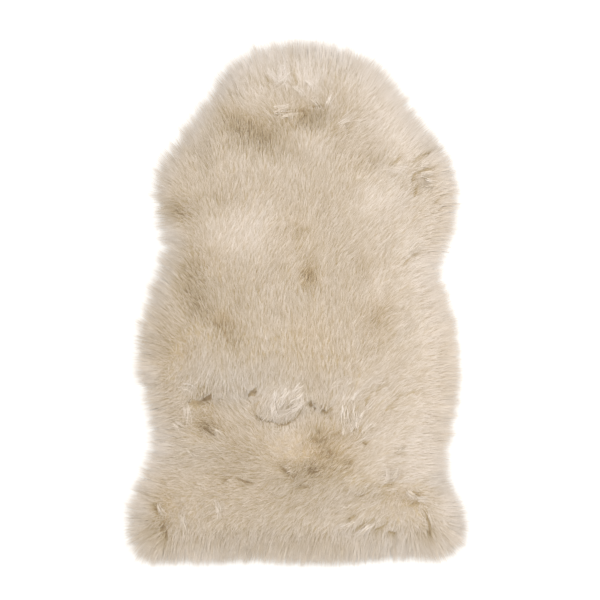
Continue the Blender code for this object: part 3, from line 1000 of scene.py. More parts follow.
def scatter(spots, seed):
    """Points on the underwool, this many to the square metre where the wool is full."""
    kind = "GeometryNodeDistributePointsOnFaces"
    return grow.node(kind, Mesh=skin, Density=spots * density, Seed=seed)


root_scatter = scatter(roots, seed)
normal = grow.out(root_scatter, "Normal")
lock_points = grow.out(scatter(locks, LOCK_SEED), "Points")
nearest_lock = grow.wire("GeometryNodeSampleNearest", Geometry=lock_points, Sample_Position=position)


def from_lock(field):
    """What the nearest lock says of this field."""
    kind = {"data_type": "FLOAT_VECTOR" if field.is_vector else "FLOAT"}
    return grow.wire("GeometryNodeSampleIndex", kind, Geometry=lock_points, Value=field, Index=nearest_lock)


lock_root = from_lock(position)

# %% What each lock and each strand has of its own
LOCK_TURN, LOCK_LENGTH, LOCK_SHADE, OWN_TURN, OWN_LENGTH, OWN_SHADE, LOCK_CHOICE = range(1, 8)  # seeds
EVERY_WAY = ((-1, -1, -0.3), (1, 1, 0.3))
LOCK_LENGTHS = (-0.16, 0.16)
COMBED_OUT = 0.9  # how much less a lock differs from its neighbours at the rim
OWN_LENGTHS = 1.7
MOST_ARE_SHORT = 2.0  # above 1, only a few strands are long

combed = skin_field("combed")
in_order = 1 - combed * COMBED_OUT
lock_turn = from_lock(chance(*EVERY_WAY, LOCK_TURN, "FLOAT_VECTOR"))
lock_length = from_lock(chance(*LOCK_LENGTHS, LOCK_LENGTH)) * in_order + 1
lock_shade = from_lock(chance(-1.0, 1.0, LOCK_SHADE))
own_turn = chance(*EVERY_WAY, OWN_TURN, "FLOAT_VECTOR")
off_length = chance(0.0, 1.0, OWN_LENGTH) ** MOST_ARE_SHORT * OWN_LENGTHS - 1
own_length = 1 + uneven * skin_field("ragged") * off_length
own_shade = chance(-1.0, 1.0, OWN_SHADE)

# %% Choose an end of the line along which it lies
CHOICES = (-0.7, 0.7)  # where the flow along the line is weaker than this, either end may be chosen


def parts(vector):
    """The three numbers of a vector."""
    split = grow.node("ShaderNodeSeparateXYZ", Vector=vector)
    return [grow.out(split, name) for name in "XYZ"]


def together(x=0.0, y=0.0, z=0.0):
    """Three numbers as a vector."""
    return grow.wire("ShaderNodeCombineXYZ", X=x, Y=y, Z=z)


grain_x, grain_y, _ = parts(skin_field("grain", "FLOAT_VECTOR"))
grain_angle = grow.math("ARCTAN2", grain_y, grain_x) * 0.5
grain_way = together(grow.math("COSINE", grain_angle), grow.math("SINE", grain_angle))
decided = grow.vector("DOT_PRODUCT", skin_field("flow", "FLOAT_VECTOR"), grain_way, output="Value")
lock_choice = from_lock(chance(*CHOICES, LOCK_CHOICE))
side = grow.math("GREATER_THAN", decided, lock_choice) * 2 - 1

# %% Which way it starts and ends
LIES_LEAST, LIES_MORE = 0.25, 0.8  # how flat it lies where rows disagree, and what agreeing adds
SWAY_SCALE, SWAY = 38.0, 0.9  # a slow change of direction, in waves a metre
NOISE_MIDDLE = 0.5
STRAYS_UPRIGHT = 0.4  # how much more it strays where it stands up
OWN_STRAY = 0.5  # a strand's own straying, for its lock's
TIP_RISE, TIP_LIES = 0.85, 0.45  # how far its tip stands up, and what lying flat takes off

agreed = grow.vector("LENGTH", skin_field("grain", "FLOAT_VECTOR"), output="Value")
lying = grow.math("MINIMUM", agreed * LIES_MORE + LIES_LEAST, 1.0)
sway = grow.wire("ShaderNodeTexNoise", {}, "Color", Vector=position, Scale=SWAY_SCALE, Detail=1.0)
sway = grow.vector("SUBTRACT", sway, (NOISE_MIDDLE, NOISE_MIDDLE, NOISE_MIDDLE))
sway = grow.vector("MULTIPLY", sway, (SWAY, SWAY, 0.0))
straying = stray + (1 - lying) * STRAYS_UPRIGHT
strays = lock_turn * (straying * in_order), own_turn * (straying * OWN_STRAY)
lie = grain_way * side * lying + strays[0] + strays[1] + sway
start_way = grow.vector("NORMALIZE", normal * rise + lie)
droop = together(z=skin_field("hang"))
end_way = grow.vector("NORMALIZE", lie + normal * (TIP_RISE - lying * TIP_LIES) - droop)

# %% How far it may grow
LOOK_AHEAD = 0.1
SLIT_WIDTH = 0.0055
SLIT_CLEAR = 0.004  # how much farther from a curtain strands end, for each step of its depth
USUAL_DEPTH = 0.6  # a parting of this depth is closed but for a dark line
ROOM_STRETCH, ROOM_MORE = 1.05, 0.0015  # a strand bends, so it is longer than its way
SHORTEST = 0.003
SLIT_SHORTER, SLIT_LEAST = 0.6, 0.2  # beside a curtain strands are shorter, but never shorter than this
UPRIGHT_LENGTH = 0.65  # how long a strand is that stands up, for one that lies

curtain = grow.wire("GeometryNodeObjectInfo", {}, "Geometry", Object=curtains)
lie_x, lie_y, _ = parts(lie)
look = grow.node(
    "GeometryNodeRaycast",
    Target_Geometry=curtain,
    Source_Position=position,
    Ray_Direction=together(lie_x, lie_y),
    Ray_Length=LOOK_AHEAD,
)
blocked = grow.out(look, "Is Hit")
room = grow.out(look, "Hit Distance") * blocked + (1 - blocked) * LOOK_AHEAD
beside = grow.wire("GeometryNodeProximity", {}, "Distance", Geometry=curtain, Sample_Position=position)
depth = grow.wire(
    "GeometryNodeSampleNearestSurface",
    {"data_type": "FLOAT"},
    "Value",
    Mesh=curtain,
    Value=skin_field("depth"),
    Sample_Position=position,
)
slit = grow.math("MAXIMUM", 1 - beside / SLIT_WIDTH, 0.0) * depth
lying_length = lying * (1 - UPRIGHT_LENGTH) + UPRIGHT_LENGTH
free_length = skin_field("reach") * length * lock_length * own_length * lying_length
room_left = room * ROOM_STRETCH + ROOM_MORE - (depth - USUAL_DEPTH) * SLIT_CLEAR
full_length = grow.math("MINIMUM", free_length, grow.math("MAXIMUM", room_left, SHORTEST))
full_length = full_length * grow.math("MAXIMUM", 1 - slit * SLIT_SHORTER, SLIT_LEAST)

# %% Keep its course and its colours at its root
MOTTLE_SCALE, MOTTLE = 75.0, 1.2
LOCK_SHADES, OWN_SHADES, COMBED_SHADES = 0.40, 0.62, 0.2
# painted shade: how much darker the strands beside a parting are painted
SLIT_PAINTED_SHADE = 1.8
COMBED_APART = 0.48  # how much less the rim's strands gather into locks

mottle = grow.wire("ShaderNodeTexNoise", {}, "Fac", Vector=position, Scale=MOTTLE_SCALE, Detail=1.0)
# the tone brings the patches' and the rim's painted light and shade; beside a parting strands get painted
# shade
shades = skin_field("tone") + lock_shade * LOCK_SHADES
shades = shades + own_shade * (OWN_SHADES - combed * COMBED_SHADES) + paler
shades = shades + (mottle - NOISE_MIDDLE) * MOTTLE - slit * SLIT_PAINTED_SHADE
rooted, root, way_1, way_2, side_normal, pull, shade, warmth, number = grow.keep(
    grow.out(root_scatter, "Points"),
    root=position,
    way_1=start_way * full_length,
    way_2=end_way * full_length,
    side_normal=normal,
    pull=(lock_root - position) * (gather * (1 - combed * COMBED_APART)),
    shade=shades,
    warmth=skin_field("warm"),
    number=grow.wire("GeometryNodeInputIndex") + 0.0,
)

# %% Put a cone on each root
STRAND_SIDES = 3

cone = grow.node(
    "GeometryNodeMeshCone",
    {"fill_type": "NGON"},
    Vertices=STRAND_SIDES,
    Side_Segments=steps,
    Radius_Top=0.0,
    Radius_Bottom=1.0,
    Depth=1.0,
)
strand, in_cone = grow.keep(grow.out(cone, "Mesh"), in_cone=position)
planted = grow.wire("GeometryNodeInstanceOnPoints", Points=rooted, Instance=strand)
realized = grow.wire("GeometryNodeRealizeInstances", Geometry=planted)

# %% Bend it along its strand
STRAND_BELLY = 1.4  # how much fuller than a plain cone the strand is
STRAND_FLAT = 0.6  # its thickness for its width
FLOOR_GAP = 0.0012
CEILING = high.z + 0.009
OVER_THE_BOX = 0.0132

across, over, t = parts(in_cone)
middle = root + way_1 * (t - t * t * 0.5) + way_2 * (t * t * 0.5) + pull * (t * t)
heading_now = grow.vector("NORMALIZE", way_1 * (1 - t) + way_2 * t)
sideways = grow.vector("NORMALIZE", grow.vector("CROSS_PRODUCT", side_normal, heading_now))
upright = grow.vector("CROSS_PRODUCT", heading_now, sideways)


def held(value, least, most):
    return grow.math("MINIMUM", grow.math("MAXIMUM", value, least), most)


middle_x, middle_y, middle_z = parts(middle)
rested = together(
    held(middle_x, low.x - OVER_THE_BOX, high.x + OVER_THE_BOX),
    held(middle_y, low.y - OVER_THE_BOX, high.y + OVER_THE_BOX),
    held(middle_z, width * 0.5 + FLOOR_GAP, CEILING),
)
belly = 1 + t * STRAND_BELLY
bent = rested + sideways * (across * width * belly) + upright * (over * width * belly * STRAND_FLAT)
moved = grow.wire("GeometryNodeSetPosition", Geometry=realized, Position=bent)

# %% Give it a cell of the texture
STRAND_TURN = math.radians(15.0)  # so that no face is edge on in the cell
CELL_SIDE = 0.42  # how much of its cell a strand takes up to either side of the middle
CELL_FOOT, CELL_RUN = 0.08, 0.84  # where it starts in the cell, and how far it goes

turned = across * math.cos(STRAND_TURN) + over * math.sin(STRAND_TURN)
unwrapped = together(
    (grow.math("MODULO", number, cells) + 0.5 + turned * CELL_SIDE) / cells,
    (grow.math("FLOOR", number / cells) + CELL_FOOT + t * CELL_RUN) / cells,
)

# %% Store what the material, the shading and the texture need
FACING_STRAND, FACING_SKIN = 0.5, 0.4  # beside 1 for straight up

facing_up = upright * FACING_STRAND + side_normal * FACING_SKIN + together(z=1.0)
named = moved
for label, kind, domain, field in (
    ("tone", "FLOAT", "POINT", shade),
    ("warm", "FLOAT", "POINT", warmth),
    ("along", "FLOAT", "POINT", t),
    ("facing", "FLOAT_VECTOR", "POINT", facing_up),
    ("OFBake", "FLOAT2", "CORNER", unwrapped),
):
    named = grow.wire(
        "GeometryNodeStoreNamedAttribute",
        {"data_type": kind, "domain": domain},
        Geometry=named,
        Name=label,
        Value=field,
    )
smooth = grow.wire("GeometryNodeSetShadeSmooth", Geometry=named)
grown = grow.wire("GeometryNodeSetMaterial", Geometry=smooth, Material=wool)
grow.node("NodeGroupOutput", Geometry=grown)
print("grow_wool:", len(grow.tree.nodes), "nodes")

# %% [markdown]
# ## Four coats and the loose rim
#
# One scatter for all the wool would be a single piece of some 800,000 faces, too many for one. It
# grows in four coats instead, each from the same tree with its own numbers. The first has strands
# with a bend in the middle. The others are straight between root and tip and fill up below it,
# shorter and less orderly from coat to coat. The fifth is the fine loose wool at the very edge. Its
# strands are painted paler, a painted glow of the bright floor that shows through them.
#
# A strand is far smaller than its picture, so what its three faces do with the light is noise. Each is
# therefore shaded much as the wool around it lies. Its underside would look at the floor and turn
# black, where real wool lets light through, so it is shaded as if it looked out sideways.


# %% Helper for soft shading
UNDERSIDE_UP, UNDERSIDE_LEAST = 0.3, 0.02  # how far up an underside is taken to look


def shade_softly(mesh, facing):
    """Shade each corner by its point's facing, but the undersides as if they looked out sideways."""
    face_ways = point_vectors(mesh.polygons, "normal", len(mesh.polygons))
    corners = np.empty(len(mesh.polygons), np.int32)
    mesh.polygons.foreach_get("loop_total", corners)
    point = np.empty(len(mesh.loops), np.int32)
    mesh.loops.foreach_get("vertex_index", point)
    turned_out = np.repeat(face_ways, corners, axis=0)
    below = turned_out[:, 2] < 0
    sideways = np.hypot(turned_out[:, 0], turned_out[:, 1])
    turned_out[:, 2] = UNDERSIDE_UP * sideways + UNDERSIDE_LEAST
    turned_out /= np.linalg.norm(turned_out, axis=1)[:, None]
    facing = facing / np.linalg.norm(facing, axis=1)[:, None]
    mesh.normals_split_custom_set(np.where(below[:, None], turned_out, facing[point]).tolist())


# %% Grow the coats
Coat = namedtuple("Coat", ["name", *COAT_INPUTS])
COATS = (
    Coat("fleece_1", "grows", 21, 2, 42000, 120000, 0.98, 0.32, 0.00048, 0.45, 0.95, 0.20, 0.0, 140),
    Coat("fleece_2", "grows", 22, 1, 108000, 120000, 0.94, 0.32, 0.00045, 0.45, 0.95, 0.20, 0.0, 224),
    Coat("fleece_3", "grows", 23, 1, 108000, 120000, 0.90, 0.32, 0.00045, 0.45, 0.90, 0.28, 0.0, 224),
    Coat("fleece_4", "grows", 24, 1, 108000, 120000, 0.85, 0.32, 0.00045, 0.40, 0.85, 0.38, 0.0, 224),
    # painted light: the loose rim's paler is a painted glow of the floor through the thin wool
    Coat("loose_rim", "frays", 25, 1, 420000, 45000, 1.05, 0.45, 0.00030, 0.15, 0.60, 0.42, 0.4, 224),
)
KEPT_ATTRIBUTES = ("position", "tone", "warm", "along", "OFBake", "material_index", ".", "sharp", "custom")
OWN_SHARE = 0.15  # how much of a point's own normal goes into its shading

fleece = []
for coat in COATS:
    sizes = coat._asdict()
    piece = plain_mesh(sizes.pop("name"), underwool, grow.tree, **sizes)
    count = len(piece.data.vertices)
    facing = point_vectors(piece.data.attributes["facing"].data, "vector", count)
    own = point_vectors(piece.data.vertices, "normal", count)
    shade_softly(piece.data, own * OWN_SHARE + facing * (1 - OWN_SHARE))
    for attribute in [a.name for a in piece.data.attributes if not a.name.startswith(KEPT_ATTRIBUTES)]:
        piece.data.attributes.remove(piece.data.attributes[attribute])
    fleece.append(piece)
    triangles = sum(len(polygon.vertices) - 2 for polygon in piece.data.polygons)
    print(coat.name, triangles, "triangles", [a.name for a in piece.data.attributes])

bpy.data.objects.remove(curtains)
underwool.data.materials.clear()
underwool.data.materials.append(wool)

# %% [markdown]
# ## The felt in the partings
#
# Where the wool is parted, one looks down on the underwool itself. In a narrow slit hardly any light
# reaches it, so its tone is lowered along every parting's line. The widest, under the overhang, are
# lowered less for their depth, because they let more light in.

# %% Darken the felt
SLIT_FELT = 0.015  # how far from a parting's line the felt is darker
FELT_DARKER = 1.5  # for each step of a parting's depth
WIDE_LIGHTER = 0.64


def way_to_line(line, spots):
    """How far each spot is from a line of corners."""
    nearest = np.full(len(spots), np.inf)
    for start, end in zip(line, line[1:]):
        run = np.subtract(end, start)
        share = np.clip((spots - start) @ run / (run @ run), 0, 1)
        nearest = np.minimum(nearest, np.linalg.norm(spots - start - share[:, None] * run, axis=1))
    return nearest


slits = []
for parting in PARTINGS:
    nearness = np.clip(1 - way_to_line(parting.line, places[:, :2]) / SLIT_FELT, 0, 1)
    slits.append(nearness * parting.depth * (FELT_DARKER - WIDE_LIGHTER * parting.depth))
felt_tone = tone - np.max(slits, axis=0)
underwool.data.attributes["tone"].data.foreach_set("value", felt_tone.astype(np.float32))
print("felt darkened at", int((felt_tone < tone).sum()), "of", len(places), "places")

# %% [markdown]
# ## Curled locks
#
# Some locks have felted into flat curls that lie on top of the fleece, most of them near the whorls and
# the overhang. Each is a bundle of strands that set out side by side, turn evenly as they go, and close
# up towards the tip. A few narrow, dark ones under the overhang are no curls but painted shadow, laid
# in the gaps between the pale curls there. The coats' tree can't make them, since its strands bend
# once. So the strands' middle lines are drawn here as chains of points. Geometry Nodes turn the chains
# into curves, taper them and give them a three-sided skin.

# %% Table of curls
Curl = namedtuple("Curl", "x y heading bend length width tone")
CURLS = [Curl(*row) for row in (
    # on the head
    (-0.0114, 0.413, -118, -30, 0.042, 0.0106, 1.3),
    (-0.0308, 0.4268, -65, -65, 0.042, 0.0123, 1.1),
    (-0.0519, 0.411, -42, -20, 0.028, 0.008, 1.2),
    (0.0097, 0.3951, -28, -30, 0.028, 0.008, 1.3),
    (-0.0132, 0.3846, -25, -35, 0.035, 0.006, 1.1),
    (0.0238, 0.3650, -48, -10, 0.026, 0.007, 0.9),
    (0.0502, 0.3477, 50, 20, 0.028, 0.008, 1.0),
    (-0.0449, 0.3441, -8, 30, 0.040, 0.006, 0.9),
    (-0.0431, 0.3335, 12, 0, 0.034, 0.005, 0.9),
    (-0.0361, 0.3229, 25, -30, 0.036, 0.006, 1.0),
    (0.029, 0.4497, -25, -60, 0.030, 0.008, 1.0),
    (0.0695, 0.3142, 20, 20, 0.042, 0.008, 0.9),
    # under the overhang
    (0.013, -0.140, -130, -10, 0.030, 0.010, 0.9),
    (0.017, -0.155, -138, -8, 0.034, 0.010, 1.2),
    (0.019, -0.170, -146, -6, 0.036, 0.009, 0.9),
    (0.014, -0.183, -152, -4, 0.040, 0.008, 1.2),
    (-0.006, -0.190, -158, 10, 0.034, 0.007, 1.0),
    (-0.012, -0.150, -125, -15, 0.034, 0.010, 0.8),
    (-0.022, -0.165, -120, -20, 0.034, 0.010, 1.1),
    (-0.034, -0.150, -100, -15, 0.032, 0.010, 0.8),
    (-0.041, -0.172, -92, 15, 0.034, 0.009, 1.0),
    (-0.050, -0.187, -95, -20, 0.026, 0.007, 0.8),
    # painted shadow: thin dark strands in the gaps between the pale curls above
    (0.004, -0.143, -128, -10, 0.034, 0.0025, -0.7),
    (0.008, -0.160, -138, -8, 0.034, 0.0025, -0.6),
    (0.006, -0.174, -146, -6, 0.034, 0.0025, -0.7),
    (-0.012, -0.165, -128, -8, 0.036, 0.0025, -0.7),
    (-0.024, -0.158, -118, -10, 0.034, 0.0025, -0.7),
    (-0.036, -0.165, -100, -5, 0.032, 0.0025, -0.6),
    (-0.044, -0.215, -75, 130, 0.028, 0.004, 0.9),
    (-0.198, -0.2578, -40, -20, 0.025, 0.007, 0.4),
    (-0.2226, -0.2138, -20, -50, 0.025, 0.0088, 0.6),
    (-0.2121, -0.1575, 35, -110, 0.035, 0.0088, 0.5),
    (-0.198, -0.1716, -72, -25, 0.040, 0.0100, 0.5),
    (0.0871, -0.1786, -105, 30, 0.042, 0.0106, 0.5),
    (0.1082, -0.1857, -110, 20, 0.042, 0.0106, 0.4),
    (0.059, -0.154, 55, -60, 0.028, 0.007, 0.6),
    # right of the overhang
    (0.0906, -0.1769, 58, 0, 0.024, 0.007, 0.9),
    (0.0854, -0.2121, 80, -10, 0.020, 0.005, 0.4),
    (0.1047, -0.2209, 62, -15, 0.028, 0.006, 0.5),
    (0.0836, -0.1505, 50, 25, 0.022, 0.006, 0.7),
    (0.0942, -0.1751, 62, -25, 0.026, 0.006, 0.8),
    (0.0783, -0.1751, 58, 20, 0.018, 0.005, 0.7),
    (0.1065, -0.1681, 58, -20, 0.026, 0.006, 0.8),
    (0.0977, -0.1980, 70, 25, 0.024, 0.005, 0.6),
    (0.1118, -0.2068, 75, -30, 0.026, 0.005, 0.7),
    (0.1047, -0.2279, 72, 20, 0.022, 0.005, 0.8),
    (0.1223, -0.1927, 55, -20, 0.024, 0.006, 0.7),
    (0.0942, -0.2314, 65, 15, 0.018, 0.005, 0.6),
    (0.1223, -0.2244, 58, -20, 0.024, 0.005, 0.7),
    (0.0801, -0.2385, 68, 20, 0.018, 0.004, 0.5),
    (0.1329, -0.2420, 45, -15, 0.022, 0.005, 0.6),
    (0.1470, -0.1575, 25, -10, 0.028, 0.005, 0.7),
    (0.1540, -0.1751, 18, 10, 0.030, 0.006, 0.6),
    (0.1329, -0.1470, 32, -15, 0.028, 0.006, 0.7),
    (0.1153, -0.1452, 35, 0, 0.026, 0.008, 0.7),
    (0.1734, -0.2684, 40, -10, 0.022, 0.007, 0.7),
    # at the shoulder's whorl
    (0.2138, 0.2262, 5, -20, 0.039, 0.007, 0.5),
    (0.2121, 0.2385, 30, -20, 0.035, 0.0088, 0.9),
    (0.1962, 0.2297, 165, 20, 0.039, 0.0088, 0.8),
    (0.2244, 0.2174, -12, -10, 0.032, 0.006, 0.5),
    (0.2226, 0.2068, -5, 25, 0.035, 0.006, 0.4),
    (0.1786, 0.1751, 52, -10, 0.030, 0.0080, 1.0),
    (0.1751, 0.2385, 12, -20, 0.026, 0.0070, 0.9),
    (0.2385, 0.1980, 48, -10, 0.028, 0.0070, 0.8),
    (0.1962, 0.0889, 40, 0, 0.032, 0.0080, 0.7),
    # on the tail
    (0.1575, -0.323, 80, 10, 0.028, 0.007, 0.6),
    (0.1663, -0.3159, 60, -20, 0.028, 0.0088, 0.7),
    (0.1751, -0.3212, 30, -35, 0.046, 0.007, 0.7),
    (0.191, -0.3335, -25, -20, 0.025, 0.0088, 0.6),
    (0.2068, -0.3511, 15, -30, 0.028, 0.007, 0.6),
    (0.2279, -0.3652, -60, -20, 0.039, 0.007, 0.5),
    (-0.2455, -0.3529, -80, 30, 0.028, 0.0053, 0.9),
    (-0.2086, -0.3687, -65, -20, 0.042, 0.0106, 0.6),
    (-0.1487, -0.3476, -50, -40, 0.036, 0.0120, 0.1),
    (-0.2684, -0.425, -60, 40, 0.025, 0.007, 0.5),
    (-0.147, -0.2209, -35, -15, 0.032, 0.005, 0.1),
    (-0.1558, -0.242, -40, 0, 0.028, 0.004, 0.1),
    (0.1047, -0.3828, -150, 10, 0.039, 0.0088, 0.4),
    (0.1399, -0.3863, -150, 20, 0.042, 0.0106, 0.4),
    (0.1153, -0.2367, 70, -40, 0.032, 0.0088, 0.6),
    (0.1082, -0.2526, 60, -60, 0.028, 0.007, 0.5),
)]

# %% How a curl's strands run
CURL_POINTS = 8
CURL_SEED = 5
HEADING_SPREAD, BEND_SPREAD = 7, 10  # degrees
CURL_LENGTHS = (0.45, 1.0)  # of the curl's length, for one strand
CURL_STARTS = (0.0, 0.3)  # how late along the curl a strand may start
CLOSES_BY, CLOSES_LATE = 0.75, 1.5  # how much narrower its tip is, and how late it gets so
CURL_SUNK, CURL_LIFT, CURL_CROWN = 0.002, 0.0048, 0.002
ARCH_FROM, ARCH_RUN = 0.10, 0.78  # the part of half a turn over which a strand rises and sinks

dice = np.random.default_rng(CURL_SEED)
share = np.linspace(0, 1, CURL_POINTS)


def strand_line(row):
    """One strand of a curl, seen from above, and how far each of its points is lifted."""
    across = dice.uniform(-1, 1)
    heading = row.heading + dice.normal(0, HEADING_SPREAD)
    angles = np.radians(heading + (row.bend + dice.normal(0, BEND_SPREAD)) * share)
    step = row.length * dice.uniform(*CURL_LENGTHS) / (CURL_POINTS - 1)
    aside = across * row.width / 2 * (1 - CLOSES_BY * share**CLOSES_LATE)
    late = row.length * dice.uniform(*CURL_STARTS)
    x = row.x + np.cumsum(np.cos(angles)) * step + np.cos(angles[0]) * late - np.sin(angles) * aside
    y = row.y + np.cumsum(np.sin(angles)) * step + np.sin(angles[0]) * late + np.cos(angles) * aside
    crown = CURL_CROWN * math.sqrt(1 - across**2) * np.sin(math.pi * share)
    lift = CURL_LIFT * np.sin(math.pi * (ARCH_FROM + ARCH_RUN * share)) - CURL_SUNK + crown
    return x, y, lift


# %% Draw the strands' middle lines
CURL_GAP = 0.0005  # between the strands of a curl
CURL_LOWEST = 0.0015
CURL_TONE, CURL_MOTTLE = 0.2, 0.85  # a curl's strands are a little darker than its tone, and uneven

chain_points, chain_edges = [], []
chain_fields = {"tone": [], "warm": [], "strand": []}
for row in CURLS:
    for _ in range(int(row.width / CURL_GAP)):
        x, y, lift = strand_line(row)
        first = len(chain_points)
        for i in range(CURL_POINTS):
            under = top_of_solid(x[i], y[i])
            height = (under.z if under else low.z) + lift[i]
            chain_points.append((x[i], y[i], max(height, CURL_LOWEST)))
        chain_edges += [(first + i, first + i + 1) for i in range(CURL_POINTS - 1)]
        chain_fields["tone"] += [row.tone - CURL_TONE + dice.normal(0, CURL_MOTTLE)] * CURL_POINTS
        chain_fields["warm"] += list(laid(WARMTHS, x, y))
        chain_fields["strand"] += [first // CURL_POINTS] * CURL_POINTS
chain_mesh = bpy.data.meshes.new("chains")
chain_mesh.from_pydata(chain_points, chain_edges, [])
for name, values in chain_fields.items():
    chain_mesh.attributes.new(name, "FLOAT", "POINT").data.foreach_set("value", values)
chains = bpy.data.objects.new("chains", chain_mesh)
bpy.context.scene.collection.objects.link(chains)
print(len(CURLS), "curls of", len(chain_points) // CURL_POINTS, "strands")

# %% The tree that skins them: lines, taper and ring
CURL_ALONG = (0.4, 0.8)  # the part of the wool's ramp from skin to tip that a curl shows
CURL_TIP = 0.2  # the tip's thickness, for the root's

curl, (lines, radius) = geometry_tree("skin_curls", radius="Float")


def stored(geometry, name, value, kind="FLOAT", domain="POINT"):
    """The geometry with this value kept on it under this name."""
    settings = {"data_type": kind, "domain": domain}
    keeper = "GeometryNodeStoreNamedAttribute"
    return curl.wire(keeper, settings, Geometry=geometry, Name=name, Value=value)


curves = curl.wire("GeometryNodeMeshToCurve", Mesh=lines)
factor = curl.wire("GeometryNodeSplineParameter", {}, "Factor")
curves = stored(curves, "along", factor * (CURL_ALONG[1] - CURL_ALONG[0]) + CURL_ALONG[0])
taper = radius * ((1 - factor) * (1 - CURL_TIP) + CURL_TIP)
ring = curl.wire("GeometryNodeCurvePrimitiveCircle", {"mode": "RADIUS"}, Resolution=STRAND_SIDES, Radius=1.0)
ring_place = curl.node("ShaderNodeSeparateXYZ", Vector=curl.wire("GeometryNodeInputPosition"))
ring_x, ring_y = curl.out(ring_place, "X"), curl.out(ring_place, "Y")
ring = stored(ring, "aside", ring_x * math.cos(STRAND_TURN) + ring_y * math.sin(STRAND_TURN))
skinned = curl.wire("GeometryNodeCurveToMesh", Curve=curves, Profile_Curve=ring, Scale=taper, Fill_Caps=True)

# %% Its texture cells, and the finished curls
CURL_RADIUS = 0.0005
CURL_CELLS = 40  # cells along each side of the curls' texture, one for each strand
CURL_ROUND = 0.3  # how much of a curl's own roundness goes into its shading

strand_number, aside, along = (
    curl.wire("GeometryNodeInputNamedAttribute", {"data_type": "FLOAT"}, Name=name)
    for name in ("strand", "aside", "along")
)
way_up = (along - CURL_ALONG[0]) / (CURL_ALONG[1] - CURL_ALONG[0])
cell_column = curl.math("FLOORED_MODULO", strand_number + 0.5, CURL_CELLS)
cell_row = curl.math("FLOOR", (strand_number + 0.5) / CURL_CELLS)
in_cell = curl.wire(
    "ShaderNodeCombineXYZ",
    X=(cell_column + aside * CELL_SIDE) / CURL_CELLS,
    Y=(cell_row + CELL_FOOT + way_up * CELL_RUN) / CURL_CELLS,
)
mapped = stored(skinned, "OFBake", in_cell, "FLOAT2", "CORNER")
joined = curl.wire("GeometryNodeRealizeInstances", Geometry=mapped)
curl.node("NodeGroupOutput", Geometry=curl.wire("GeometryNodeSetMaterial", Geometry=joined, Material=wool))

curls = plain_mesh("curls", chains, curl.tree, radius=CURL_RADIUS)
curl_normals = point_vectors(curls.data.vertices, "normal", len(curls.data.vertices))
shade_softly(curls.data, curl_normals * CURL_ROUND + (0, 0, 1))
for helper in ("strand", "aside"):
    curls.data.attributes.remove(curls.data.attributes[helper])
bpy.data.objects.remove(chains)
fleece.append(curls)
curl_places = vertex_places(curls.data)
print("curls: from", curl_places.min(0).round(3), "to", curl_places.max(0).round(3))
print("curls:", len(curls.data.polygons), "faces,", [layer.name for layer in curls.data.uv_layers])

# %% [markdown]
# ## The hide
#
# The hide is a thin tanned skin, flat on the floor, and shows only from beneath. The solid's underside
# already has its outline, so the hide is cut from a copy of the solid: all but its flat bottom faces
# are deleted, and Solidify gives what is left the thickness of a skin, upwards.

# %% Cut the hide
HIDE_THICKNESS = 0.0018
LOOKS_DOWN = -0.99
ON_THE_FLOOR = 1e-4

skin_mesh = bmesh.new()
skin_mesh.from_mesh(solid.data)
bmesh.ops.remove_doubles(skin_mesh, verts=skin_mesh.verts, dist=SAME_POINT)
other_faces = [
    face
    for face in skin_mesh.faces
    if face.normal.z > LOOKS_DOWN or face.calc_center_median().z > ON_THE_FLOOR
]
bmesh.ops.delete(skin_mesh, geom=other_faces, context="FACES")
hide_area = sum(face.calc_area() for face in skin_mesh.faces)
flat_mesh = bpy.data.meshes.new("hide")
skin_mesh.to_mesh(flat_mesh)
skin_mesh.free()
flat_hide = bpy.data.objects.new("flat_hide", flat_mesh)
bpy.context.scene.collection.objects.link(flat_hide)
print("flat hide:", round(hide_area, 4), "m2")

# %% Give it its thickness
thicken = flat_hide.modifiers.new("thicken", "SOLIDIFY")
thicken.thickness = HIDE_THICKNESS
thicken.offset = -1
graph = bpy.context.evaluated_depsgraph_get()
hide = bpy.data.objects.new("hide", bpy.data.meshes.new_from_object(flat_hide.evaluated_get(graph)))
bpy.context.scene.collection.objects.link(hide)
bpy.data.objects.remove(flat_hide)
hide_places = vertex_places(hide.data)

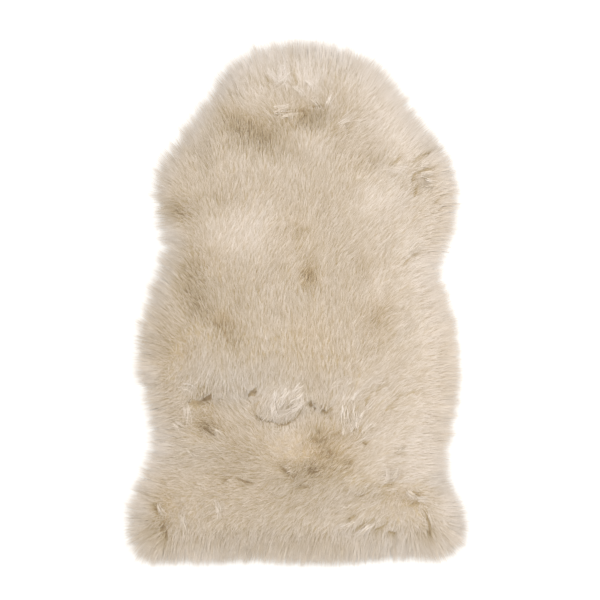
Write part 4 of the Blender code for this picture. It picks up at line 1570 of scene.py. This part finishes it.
# %% [markdown]
# ## The hide's suede
#
# The flesh side of a tanned skin is a dull suede, blotched where it took the tan unevenly, with a fine
# nap. Two noises give that: a broad one for the blotches, and a very fine one, which also roughens
# the surface a little.

# %% Suede
HIDE_LIGHT = (0.78, 0.70, 0.58, 1)
HIDE_DARK = (0.66, 0.56, 0.43, 1)
SUEDE_SHADES = (Stop(0.35, HIDE_DARK), Stop(0.65, HIDE_LIGHT))
BLOTCH_SCALE, BLOTCH_DETAIL = 14.0, 4.0
NAP_SCALE, NAP_DETAIL = 900.0, 3.0
BLOTCH_SHARE = 0.8
NAP_HEIGHT = 0.0006
SUEDE_ROUGHNESS, SUEDE_SHINE = 0.95, 0.1

suede_tree, suede_shader, suede = new_material("suede")
on_hide = suede_tree.wire("ShaderNodeTexCoord", {}, "Object")


def suede_noise(scale, detail):
    return suede_tree.wire("ShaderNodeTexNoise", {}, "Fac", Vector=on_hide, Scale=scale, Detail=detail)


blotches = suede_noise(BLOTCH_SCALE, BLOTCH_DETAIL)
nap = suede_noise(NAP_SCALE, NAP_DETAIL)
mixed = blotches * BLOTCH_SHARE + nap * (1 - BLOTCH_SHARE)
suede_color = suede_tree.wire("ShaderNodeValToRGB", {"stops": SUEDE_SHADES}, "Color", Fac=mixed)
rough = suede_tree.wire("ShaderNodeBump", {}, "Normal", Height=nap + blotches, Distance=NAP_HEIGHT)
suede_tree.feed(suede_shader.inputs["Base Color"], suede_color)
suede_tree.feed(suede_shader.inputs["Normal"], rough)
suede_shader.inputs["Roughness"].default_value = SUEDE_ROUGHNESS
suede_shader.inputs["Specular IOR Level"].default_value = SUEDE_SHINE
hide.data.materials.clear()
hide.data.materials.append(suede)
print("suede:", len(suede.node_tree.nodes), "nodes")

# %% [markdown]
# ## Hand over
#
# Every piece takes the solid's place, in its one material slot, and rides on the rug's only body. The
# hide is a thin sheet on the floor, with all the wool on it.

# %% Hand over
pieces = [underwool, *fleece]
for piece in (*pieces, hide):
    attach(piece, "root")
    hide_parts("sheepskin")
